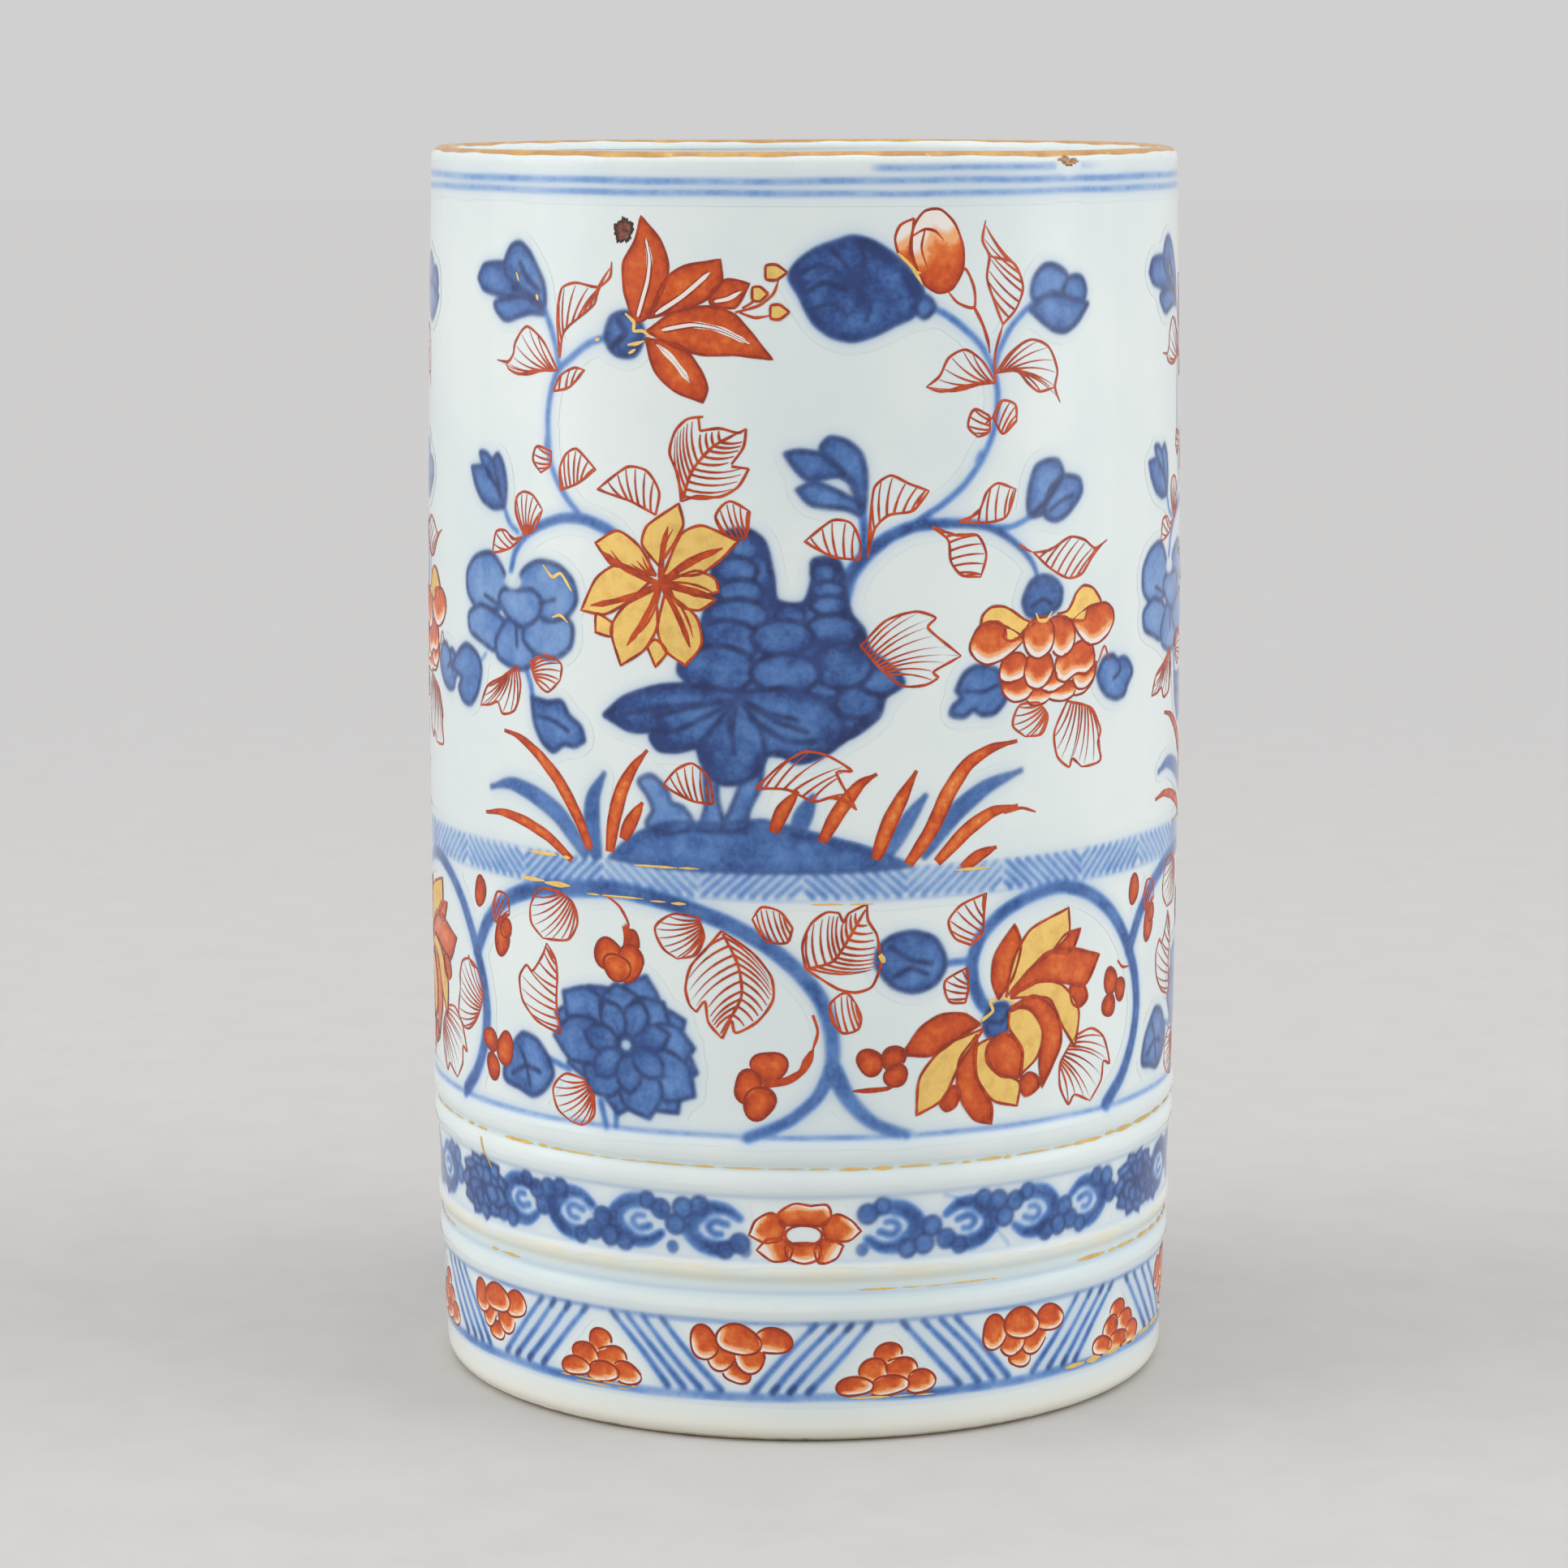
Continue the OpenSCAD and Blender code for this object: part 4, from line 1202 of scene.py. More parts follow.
# ---------------------------------------------------------------- the vines, z 46 to 80

VINE_PITCH = 114     # the front repeats are a little closer than a third of the way round
# Vine stems: width at the start and at the end, points.
VINE_STEMS = [
    (2.6, 1.6, [(-36, 80.4), (-28, 81), (-20, 79.8), (-12, 77.5), (-6, 74.5), (-1, 70.5), (2.5, 66),
     (4, 61), (4, 56.5), (2, 52), (-2, 48.5), (-8, 45.9)]),
    (2.6, 1.2, [(4.2, 56), (6.5, 51.5), (10, 48), (15, 46)]),
    (1.8, 2.2, [(30.2, 62), (27, 64), (25.2, 67.5), (25, 71), (26.5, 74.5), (30, 77.5), (35, 79.5),
     (41, 80.2), (47, 78.3), (52, 75), (56, 70.5), (59, 65), (60, 60), (59, 55), (56, 50), (51.5, 46.2)]),
    (2.2, 2.4, [(57.2, 68.4), (60.6, 73.4), (65.4, 77.3), (72, 79.8), (78, 80.4)]),
    (0.9, 0.9, [(20.4, 70.8), (25, 71)]), (0.8, 0.8, [(-40.4, 54.6), (-36.6, 53.6)]),
    (1.0, 0.8, [(-31, 49.5), (-30, 45.8)]), (0.9, 0.7, [(-28.4, 49.5), (-28.4, 46)]),
]
VINE_WASHES = [
    (0.88, [(10.4, 71.4), (11, 73.8), (13, 75.2), (16, 75.6), (19, 74.5), (20.5, 72), (20.5, 70),
     (19, 67.9), (16, 67), (13, 67.9), (11.2, 69.8)]),
    (0.84, [(-50.6, 50.2), (-50, 53.6), (-48, 56), (-46, 57.6), (-43, 57), (-41, 55), (-39.8, 52.5),
     (-41.5, 50), (-44, 48.6), (-47, 49.3)]),
    (0.9, [(31.6, 62), (30.6, 64), (28.4, 63.8), (27, 61.6), (28, 59.4), (30.4, 59.6)]),
]
DAISY_MIDDLE = (-26.6, 58.3)
DAISY_TIPS = [
    (-37.5, 65), (-33, 66.3), (-28.2, 67.2), (-23.3, 68.7), (-20.6, 65), (-17.4, 62.6), (-16, 58.6),
    (-15.6, 55), (-16, 51.6), (-18.5, 49), (-23, 47.8), (-28, 48), (-33, 50.8), (-36.8, 54.6),
    (-39.4, 58.3), (-39, 61.8),
]
VINE_INKS = [
    (0.9, [(12.5, 73.6), (15.6, 71.6), (18.6, 71)]),
    (0.8, [(13, 69.2), (15.4, 70.4), (18, 69.4)]),
    (0.9, [(-48.6, 51.2), (-45.6, 52.8), (-42.6, 52.4)]),
    (0.8, [(-47, 55.6), (-45.6, 53.4), (-44.6, 50)]),
    (0.9, [(28, 61.6), (30, 61.4), (31, 62.8)]),
]
VINE_LEAVES = [
    (7, 1, [(-38.5, 79.8), (-42, 79.6), (-43.9, 77), (-43.8, 74.4), (-41.4, 72.4)],
     [(-38.5, 79.8), (-35.6, 78.4), (-34.8, 75.4), (-36.6, 72.8), (-41.4, 72.4)]),
    (8, 0, [(-38.2, 58.6), (-43, 60), (-46, 62.6), (-46.6, 66), (-45, 68), (-43.8, 67.2), (-41.5, 70),
     (-40.7, 71.8)], [(-38.2, 58.6), (-38.9, 63), (-38.7, 67), (-39, 69.6), (-40.7, 71.8)]),
    (7, 1, [(-34, 52.5), (-37.4, 52.8), (-39.8, 50.4), (-39, 47.4), (-36.4, 45.8)],
     [(-34, 52.5), (-32.3, 50.4), (-32.2, 47.4), (-34, 45.7), (-36.4, 45.8)]),
    (7, 1, [(-15.2, 77.8), (-19, 78.1), (-21.8, 76), (-20.6, 73), (-18.4, 71.6)],
     [(-15.2, 77.8), (-14.4, 75), (-15.6, 72.4), (-18.4, 71.6)]),
    (6, 0, [(-1.6, 76.6), (-3.4, 79), (-6, 79.6), (-7.4, 77.8)],
     [(-1.6, 76.6), (-2.4, 74.5), (-5.4, 74.8), (-7.4, 77.8)]),
    (5, 0, [(4, 63), (3.8, 65.6), (6, 67.2), (7.6, 65.4)],
     [(4, 63), (5.6, 61.3), (7.8, 61.8), (8.2, 63.6), (7.6, 65.4)]),
    (5, 0, [(24.8, 73.2), (22.2, 74.4), (21.2, 77), (23.2, 79.2), (27.2, 80.6)],
     [(24.8, 73.2), (26.6, 74.8), (26.8, 77.6), (27.2, 80.6)]),
    (4, 0, [(23.9, 64.8), (21.4, 65.2), (20.7, 68.2), (24.2, 70)], [(23.9, 64.8), (24.4, 67), (24.2, 70)]),
    (8, 1, [(44, 57.6), (47.6, 58.2), (50.6, 56.4), (52.3, 52.2), (50.7, 52.8), (50.2, 50), (47.6, 47.3)],
     [(44, 57.6), (41, 54), (41, 50.4), (42.8, 47.5), (44, 48.8), (47.6, 47.3)]),
    (4, 0, [(61.8, 76), (63, 78), (65.4, 77.6), (66, 75)], [(61.8, 76), (62.6, 73.6), (66, 75)]),
]
# Lobed leaves with a middle vein: outline sides, vein, then ribs on each side as start and end.
VINE_LOBED = [
    ([[(-11.8, 76), (-14, 73.4), (-16.4, 70.6), (-17.2, 67.4), (-16.6, 65), (-15.6, 64)],
      [(-15.6, 64), (-14.3, 65.6), (-13.8, 62.6), (-11.8, 60.3)],
      [(-11.8, 60.3), (-10.4, 63), (-9.8, 61.2), (-6.6, 63), (-4.4, 66.2), (-4.7, 69.6), (-7.4, 73),
       (-11.8, 76)]],
     [(-11.6, 75.6), (-9.4, 71), (-9, 66.4), (-12, 61)], 10),
    ([[(0.3, 70.7), (-0.2, 74), (1, 77.2), (3.2, 78.9), (5, 78.8)],
      [(5, 78.8), (5.7, 77.4), (6.4, 78.7), (9, 80)], [(9, 80), (9.2, 77.6), (10.5, 75.4), (11.1, 71)],
      [(11.1, 71), (9.8, 68), (7.4, 67.2), (4.8, 67.8), (0.3, 70.7)]],
     [(0.5, 70.7), (4.4, 72), (8.8, 79.2)], 10),
]
GARDEN_LOBED = [
    ([[(-17.6, 137.2), (-18.2, 141), (-19.4, 144), (-18.6, 147), (-16.8, 148.8), (-14.4, 149.2)],
      [(-15.1, 149), (-14.9, 147.2)], [(-14.9, 147.2), (-12, 147.6), (-9.4, 147), (-8.2, 147.6)],
      [(-8.2, 147.6), (-8.6, 145), (-10.3, 142.6)], [(-10.3, 142.3), (-7.8, 142)],
      [(-7.8, 142), (-9.4, 139.4), (-12, 138), (-15.4, 138), (-17.6, 137.2)]],
     [(-17.4, 137.6), (-16, 141.6), (-13, 145), (-9.4, 147)], 10),
]
# Iron-red seeds, each a few overlapping drops: middle, width, height. The last drawn lies on top.
SEEDS = [
    [(-56.4, 77.4, 3, 4.6)],
    [(-50.6, 71.4, 3.6, 5.6), (-49.6, 72.8, 2.4, 3)],
    [(-25.6, 72.8, 2.6, 4.6), (-29.4, 71.4, 4.4, 5), (-25.9, 70.4, 4.4, 5.2), (-28, 69.6, 4.6, 3.8)],
    [(-5, 56.4, 5, 4.6), (-7.9, 53.2, 4.4, 4.8), (-6.4, 51, 4.6, 4.8)],
    [(9.6, 56.9, 3.8, 3.8), (13, 57.4, 3.4, 3.6), (13.4, 54.8, 3.2, 3.4)],
]
FRONT_SEEDS = [
    [(-54.2, 55.4, 3.4, 3.6), (-50.4, 54.6, 4, 5), (-53.6, 51.4, 3.2, 4)],
    [(52.2, 64.6, 3, 4.4), (54.8, 63, 2.8, 3.2), (51.8, 61, 3, 3.6)],
]
# Their tails: width at the start, points.
SEED_TAILS = [
    (1.7, [(-26.3, 72.8), (-26.1, 74.6), (-26.8, 76)]),
    (1.9, [(-5.6, 54), (-2.6, 54.3), (-0.2, 55.8), (1.2, 59)]),
    (1.0, [(13.6, 53.8), (12.2, 53), (10, 52.8), (7, 52.8)]),
]
VINE_RED_LINES = [
    (0.4, [(-30, 80.2), (-27.5, 78.6), (-26, 76), (-26.8, 74.8)]),
    (0.45, [(1.3, 64), (2, 61.5), (1.2, 58.6)]), (0.42, [(54, 67.4), (55.4, 66.2), (57.4, 66)]),
]
# The lotus: petals in painting order. Gilded ones have a red edge.
LOTUS = [
    ("red", [[(29.3, 64.8), (28.2, 68), (28.8, 71.6), (32, 75.6)],
     [(32, 75.6), (33.2, 72.6), (31.8, 67.8), (29.3, 64.8)]]),
    ("red", [[(39, 70.8), (41.5, 73), (44.8, 73.5)],
     [(44.8, 73.5), (43.4, 70.8), (41.6, 70.2), (39, 70.8)]]),
    ("gold", [[(30.6, 65), (32, 70.6), (35, 74.6), (42.2, 76.9)],
     [(42.2, 76.9), (42.3, 73), (39, 70.8), (34.6, 68.6), (30.6, 65)]]),
    ("red", [[(31.4, 65), (34, 68), (38, 70.8), (43, 70.8), (49.2, 69)],
     [(49.2, 69), (46, 65), (41, 66), (36.5, 66.6), (31.4, 65)]]),
    ("red", [[(42.8, 65.2), (45.6, 65), (46.5, 63), (44.8, 61.8), (43.2, 62.6)]]),
    ("gold", [[(31.4, 64.8), (36, 66.8), (41, 65.6), (44.6, 61.4), (43.9, 56)],
     [(43.9, 56), (41, 59.8), (38.6, 63.8), (34.4, 64.6), (31.4, 64.8)]]),
    ("red", [[(31.4, 63.4), (35.6, 64.7), (40, 61.8), (41, 57), (37.4, 50.8)],
     [(37.4, 50.8), (36.8, 54.6), (37.4, 59), (35, 62.6), (31.4, 63.4)]]),
    ("gold", [[(31.2, 62.8), (34.4, 63.2), (37.3, 59.6), (36.4, 55.6), (33.3, 53.2)],
     [(33.3, 53.2), (33.6, 57), (31.2, 60.4), (31.2, 62.8)]]),
    ("red", [[(26.4, 61.4), (24, 63.1), (20.4, 63.4), (17.2, 61.8), (14.2, 57.8)],
     [(14.2, 57.8), (18.8, 57.5), (22.6, 59.6), (26.4, 61.4)]]),
    ("gold", [[(27, 60.8), (21, 58.8), (17, 54.4), (16.5, 48.8)],
     [(16.5, 48.8), (20.6, 51), (23.2, 56), (27, 60.8)]]),
    ("red", [[(20.1, 50.3), (22, 52.7), (23.2, 52), (22.6, 49.8), (21, 49.1)]]),
    ("red", [[(25.9, 60), (23, 56.4), (23, 51.6), (25.4, 47.6), (28.4, 46.5)],
     [(28.4, 46.5), (28.4, 49.4), (25.8, 54), (25.9, 60)]]),
    ("gold", [[(28.4, 59.4), (25.6, 58), (26, 53.6), (28.6, 50), (32.8, 48.7)],
     [(32.8, 48.7), (33.1, 52.2), (29, 54.2), (27.4, 57.2), (28.4, 59.4)]]),
    ("red", [[(33.3, 52.2), (34.2, 50), (36.8, 51), (36.4, 52.6), (34.8, 53.4)]]),
    ("red", [[(30.3, 59.9), (27.6, 58.2), (27.6, 55.6), (30, 53.4), (33.5, 52.9)],
     [(33.5, 52.9), (33.7, 56.4), (32.2, 58.8), (30.3, 59.9)]]),
]
# Gold lines at the lotus's calyx and on the round bud.
CALYX_EDGE = [
    (26.6, 62), (28.4, 63.2), (28, 64.6), (30, 65), (32, 64), (31.6, 62.2), (32.4, 60.6), (31, 60.4),
]
BUD_GILT = [(10.9, 72.6), (11.3, 72), (11.5, 71.4)]


def lobed_leaf(red, sides, vein, ribs, turn, pitch=SECTOR):
    """A lobed leaf: a cornered outline, a middle vein, and ribs curving off both sides of it."""
    parts = [smooth(spread(side, turn, pitch)) for side in sides]
    for part in parts:
        red.stroke(part, 0.4, LINE_TONE, (1, 0.7))
    shape = np.concatenate(parts)
    middle = smooth(spread(vein, turn, pitch))
    red.stroke(middle, 0.42, 0.78, (1, 0.5))
    ahead = (middle[-1] - middle[0]) / np.hypot(*(middle[-1] - middle[0]))
    for way in (-1, 1):
        for index in range(ribs):
            start = at(middle, 0.04 + 0.84 * index / ribs)
            out = np.array([-ahead[1], ahead[0]]) * way
            aim = (out + ahead * 0.9) / np.hypot(*(out + ahead * 0.9))
            reach = 0.4
            while reach < 9 and is_inside(shape, *(start + aim * (reach + 0.5))[:, None])[0]:
                reach += 0.2
            if reach > 1.0:
                rib = bent(start, start + aim * reach, 0.08 * way, 0.03)
                red.stroke(rib, 0.38, LINE_TONE, (1.2, 0.7))


def draw_vines(blue, red, gold, over, turn):
    """One sector of the scrolling vine with its lotus, daisy, buds and leaves."""
    def put(points):
        return spread(points, turn, VINE_PITCH)
    for start, end, points in VINE_STEMS:
        line = smooth(put(points))
        blue.line(line, start + 0.2, 0.84, end_width=end + 0.2)
        if start > 1.5:
            for shift in (-0.4, 0.4):
                blue.line(line + (start * shift, start * shift * 0.4), 0.4, 0.36, 0.5, blue.ink)
    draw_daisy(blue, put)
    for tone, *sides in VINE_WASHES:
        blue.fill(outline_of([put(side) for side in sides]), tone, 0.9, ink=0.85)
    for width, points in VINE_INKS:
        blue.line(smooth(put(points)), width, 0.95, 0.5, blue.ink)
    for ribs, fan, one, two in VINE_LEAVES:
        leaf(red, one, two, ribs, turn, bool(fan), pitch=VINE_PITCH)
    for sides, vein, ribs in VINE_LOBED:
        lobed_leaf(red, sides, vein, ribs, turn, VINE_PITCH)
    for width, points in SEED_TAILS:
        tail = smooth(put(points))
        for shift in (-0.3, 0, 0.3):
            red.stroke(tail + (shift * 0.5 * width, shift * 0.4 * width), width * 0.5, 0.85, (1, 0.1))
    for drops in SEEDS + (FRONT_SEEDS if turn == 0 else []):
        overlapping(red, [put(uneven(*drop)) for drop in drops], 0.5, 0.95)
    for width, points in VINE_RED_LINES:
        red.stroke(smooth(put(points)), width, LINE_TONE, (0.8, 0.4))
    for paint, sides in LOTUS:
        shape = outline_of([put(side) for side in sides])
        if paint == "gold":
            gold.fill(shape, 0.5, 0.5)
        else:
            red.fill(shape, 0.45, 0.8)
        over.outline(shape, 0.4, 0.9)
    gold.stroke(smooth(put(CALYX_EDGE), step=0.3), 0.5, 0.5, (1, 1))
    gold.stroke(smooth(put(BUD_GILT)), 0.9, 0.5, (0.8, 0.5))


def uneven(middle_a, middle_z, width, height):
    """A freehand round."""
    turn = np.linspace(0, 2 * math.pi, 26, endpoint=False)
    reach = 1 + 0.09 * np.sin(2 * turn + middle_a) + 0.05 * np.sin(3 * turn + middle_z)
    return np.stack([middle_a + width / 2 * reach * np.cos(turn),
                     middle_z + height / 2 * reach * np.sin(turn)], axis=-1)


def overlapping(red, shapes, tone, rim, bare=None, step=0.003):
    """Red shapes painted one over another; each outline shows only where nothing later hides it."""
    ground = red.lift
    for index, shape in enumerate(shapes):
        red.lift = ground + step * index
        red.fill(shape, tone, rim, 1.4, 0.8 if bare is None else 0.55, bare)
        edge = looped(shape)
        hidden = np.zeros(len(edge), dtype=bool)
        for later in shapes[index + 1:]:
            hidden |= is_inside(later, edge[:, 0], edge[:, 1])
        cuts = np.flatnonzero(np.diff(hidden)) + 1
        for part, away in zip(np.split(edge, cuts), np.split(hidden, cuts)):
            if len(part) > 2 and not away[0]:
                red.stroke(part, 0.36, 1.2, (0.9, 0.6))
    red.lift = ground


def draw_daisy(blue, put):
    """The blue many-petalled flower: a ring of long petals and a ring of short ones."""
    centre = np.array(DAISY_MIDDLE)
    inner = [centre + np.array([math.cos(turn), math.sin(turn)]) * 7.2
             for turn in np.arange(7) * 0.8976 + 0.3]
    for tips, wide, tone in ((DAISY_TIPS[1::2], 2.88, 0.78), (DAISY_TIPS[::2], 3.12, 0.82),
                             (inner, 1.76, 0.84)):
        for tip in tips:
            spoke = np.array(tip) - centre
            side = np.array([-spoke[1], spoke[0]]) / np.hypot(*spoke) * wide
            root, low, high = (centre + spoke * share for share in (0.14, 0.42, 0.76))
            shape = outline_of([put([root, low + side, high + side, centre + spoke]),
                                put([centre + spoke, high - side, low - side, root])])
            blue.cover(shape, tone, 0.8, 0.9)
            blue.line(put([centre + spoke * 0.3, centre + spoke * 0.62]), 0.45, 0.45, 0.5, blue.ink)
    blue.fill(put(ellipse(centre[0], centre[1], 3.6, 3.6)), 0.85, 0.6, ink=0.8)
    blue.lift_out(put(ellipse(centre[0], centre[1], 1.5, 1.5)), 0.15, 0.4)


# ---------------------------------------------------------------- the border, bands, rim and gilt lines

BORDER = (80.9, 85.3)        # the fence band's foot and top
BORDER_GROUPS = 24
BORDER_STROKES = 11
RIBBON = (28.0, 36.6)        # the scroll band's foot and top
CLUSTER_STEP = 22.5          # degrees from one berry cluster to the next
BERRY_BARE = -0.62           # how deep the white edge under a berry is, in mm, pointing down
BERRY_SIZE = 2.35            # a berry's size over its half width and half height below
# One berry cluster point down: offset, height, half width, half height.
BERRIES_DOWN = [
    (0, 15.6, 2.8, 2.0), (-4.9, 14.9, 1.9, 2.1), (5.2, 15.6, 2.3, 1.8), (-2.2, 12.8, 1.8, 1.7),
    (2.2, 12.8, 2.1, 1.7), (-0.2, 10.5, 1.7, 1.3),
]
BERRIES_UP = [
    (-4.6, 8.7, 2.2, 1.3), (0.3, 8.6, 2.6, 1.3), (4.9, 8.9, 2.2, 1.4), (-2.2, 10.8, 2.0, 1.6),
    (2.3, 11.0, 2.2, 1.6), (0, 13.2, 1.8, 1.6),
]


def ring(blue, z, width, tone, low=-180, high=180, soft=0.45, wander=0.08, fade=0.25):
    """A brushed line round the pot, or part of the way round, that wanders and fades a little."""
    a = np.arange(blue.columns) * blue.PITCH - 180
    turn = np.radians(a)
    middle = z + wander * (np.sin(3 * turn + z) + 0.6 * np.sin(7 * turn + 2 * z) + 0.4 * np.sin(19 * turn))
    strength = tone * (1 - fade * (0.5 + 0.5 * np.sin(4 * turn + z) * np.sin(9 * turn + 2 * z)))
    if low > -180 or high < 180:
        strength = strength * np.clip((a - low) / 2 + 0.001, 0, 1) * np.clip((high - a) / 7 + 0.001, 0, 1)
    amount = np.clip((width / 2 - np.abs(blue.heights() - middle)) / soft + 0.5, 0, 1)
    np.maximum(blue.wash, strength * eased(amount), out=blue.wash)


def draw_border(blue):
    """The fence band under the garden: a pale wash with groups of slanting strokes."""
    foot, top = BORDER
    heights = blue.heights()
    inside = np.clip((heights - foot + 0.4) / 0.8, 0, 1) * np.clip((top + 0.3 - heights) / 0.8, 0, 1)
    np.maximum(blue.wash, 0.15 * inside, out=blue.wash)
    ring(blue, 80.6, 0.5, 0.42)
    ring(blue, 85.4, 0.4, 0.3)
    width = 360 / BORDER_GROUPS
    for group in range(BORDER_GROUPS):
        lean = 4.4 if group % 2 else -4.4
        depth = 0.76 + 0.1 * math.sin(group * 2.3)
        left = -180 + group * width
        for stroke in range(BORDER_STROKES):
            middle = left - 1.4 + (stroke + 0.3) / (BORDER_STROKES - 1) * (width + 2.8)
            ends = np.array([(middle - lean / 2, foot + 0.2), (middle + lean / 2, top - 0.2)])
            share = (np.array([left + 0.3, left + width - 0.3]) - ends[0, 0]) / lean
            low, high = max(0, share.min()), min(1, share.max())
            if high - low > 0.15:
                start, end = (ends[0] + (ends[1] - ends[0]) * part for part in (low, high))
                blue.line(np.array([start, end]), 0.75, depth, 0.4, end_width=0.6)


# One curl of the cloud scroll, round its own middle: knobs on its back as middle and size, then its
# strokes as width at the start and at the end, tone, points, and the dark line along its back.
CLOUD_KNOBS = [(1.4, 3.1, 2.6), (3.9, 2.6, 2.9), (5.1, 0.1, 2.8), (-4.6, -2.2, 2.7), (-2.4, -3.3, 2.2)]
CLOUD_STROKES = [
    (1.4, 2.9, 0.86, [(-4.6, 1.5), (-2.6, 2.8), (0, 2.8), (2.6, 0.9)]),
    (2.9, 2.2, 0.88, [(2.6, 0.9), (2.7, -1.0), (0.8, -2.7), (-2, -3.1), (-4.4, -2.3)]),
    (1.2, 1.0, 0.8, [(-2.8, 0.5), (-1.0, 1.0), (0.1, 0.1), (-0.7, -0.9), (-1.9, -0.9)]),
]
CLOUD_INK = [(-2.4, 2.7), (0.4, 2.7), (2.8, 0.6), (2.4, -1.6), (-0.4, -3)]


def cloud(blue, place, flip, up):
    """One curl of the cloud scroll. flip and up, 1 or -1, mirror it."""
    middle = sum(RIBBON) / 2

    def put(points):
        points = np.array(points, dtype=float)
        return np.stack([place + flip * points[:, 0], middle + up * points[:, 1]], axis=-1)
    for a, z, size in CLOUD_KNOBS:
        blue.fill(put(ellipse(a, z, size, size)), 0.84, 0.6, 0.5, ink=0.75)
    for start, end, tone, points in CLOUD_STROKES:
        blue.line(smooth(put(points)), start, tone, 0.5, end_width=end)
    blue.line(smooth(put(CLOUD_INK)), 0.55, 0.6, 0.5, blue.ink)


def band_flower(blue, place):
    """The blue flower between two runs of cloud scroll: two rings of pointed petals."""
    middle = sum(RIBBON) / 2
    for reach, petals, wide, tone in ((1.0, 11, 1.8, 0.78), (0.68, 8, 1.5, 0.84)):
        for index in range(petals):
            bearing = 2 * math.pi * (index + 0.5) / petals
            tip = np.array([7.4 * math.cos(bearing), 4.9 * math.sin(bearing)]) * reach
            side = np.array([-tip[1], tip[0]]) / np.hypot(*tip) * wide
            centre = np.array([place, middle])
            shape = outline_of([[centre, centre + tip * 0.62 + side, centre + tip],
                                [centre + tip, centre + tip * 0.62 - side, centre]])
            blue.cover(shape, tone, 0.75, 0.85)
    blue.fill(ellipse(place, middle, 2.6, 2.0), 0.9, 0.5, ink=0.8)


# Round the band from each red flower: where the clouds stand, thin blue lines, and blue dots.
CLOUDS_ALONG = (14, 26, 37.5, 48.5)
SCROLL_LINES = [[(-39, 36.4), (-34, 33.5), (-30, 27.8)], [(21, 36.6), (25, 35.4), (28.5, 32), (32, 28)]]
SCROLL_DOTS = [(-8.6, 29), (8.6, 29.2), (-19.6, 29)]
BLUE_FLOWER_ALONG = 62


def draw_scroll_band(blue, red):
    """Red flowers and blue flowers by turns, with cloud scrolls between them."""
    ring(blue, 37.2, 0.5, 0.34)
    ring(blue, 27.5, 0.45, 0.3)
    for turn in TURNS:
        place = turn * SECTOR
        red_flower(red, place)
        band_flower(blue, place + BLUE_FLOWER_ALONG)
        for index, along in enumerate(CLOUDS_ALONG):
            cloud(blue, place + along, 1, 1 if index % 2 else -1)
            cloud(blue, place - along, -1, -1 if index % 2 else 1)
        for points in SCROLL_LINES:
            blue.line(smooth(points) + (place, 0), 0.45, 0.5)
        for a, z in SCROLL_DOTS:
            blue.fill(ellipse(place + a, z, 1.5, 1.6), 0.75, 0.4, ink=0.5)


# The band's red flower: the depth in mm of each petal's white edge, then its sides.
RED_FLOWER_EYE = (0, 31.5, 5.4, 3)
RED_FLOWER = [
    (0.7, [(-3.2, 32.9), (-3.8, 34.6), (-1.4, 36.2), (1, 35.9)],
     [(1, 35.9), (3.4, 36), (4, 34.4), (2.9, 32.9), (0, 33.2)]),
    (0.7, [(-2.6, 33.1), (-4.6, 34.8), (-7, 33.6), (-8, 31.4)], [(-8, 31.4), (-5.6, 30.3), (-2.8, 30.8)]),
    (0.7, [(2.6, 33.1), (4.8, 34.6), (7, 33.6), (8.4, 32)], [(8.4, 32), (6.6, 30.6), (2.8, 30.6)]),
    (2.6, [(-2.9, 31), (-5.2, 30.9), (-6.9, 29.2)],
     [(-6.9, 29.2), (-4.6, 27.6), (-2.2, 27.9), (-1.4, 29.9)]),
    (2.6, [(2.9, 31), (4.6, 30.6), (5.8, 29.9)], [(5.8, 29.9), (4.8, 28), (2.2, 27.4), (1.4, 29.9)]),
    (0.7, [(-2.5, 30), (-2.4, 28.2), (0, 27.3), (2.2, 28), (2.4, 30), (0, 30.4)]),
]


def red_flower(red, place):
    """The red flower with a white middle: six petals, two of them nearly bare."""
    eye = ellipse(*RED_FLOWER_EYE) + (place, 0)
    for bare, *sides in RED_FLOWER:
        shape = outline_of([np.array(side) + (place, 0) for side in sides])
        aim = shape.mean(axis=0) - (place, RED_FLOWER_EYE[1])
        red.fill(shape, 0.45, 0.75, 1.1, 0.5, aim / np.hypot(*aim) * bare)
        red.outline(shape, 0.36, 0.9)
    red.outline(eye, 0.4, 0.9)


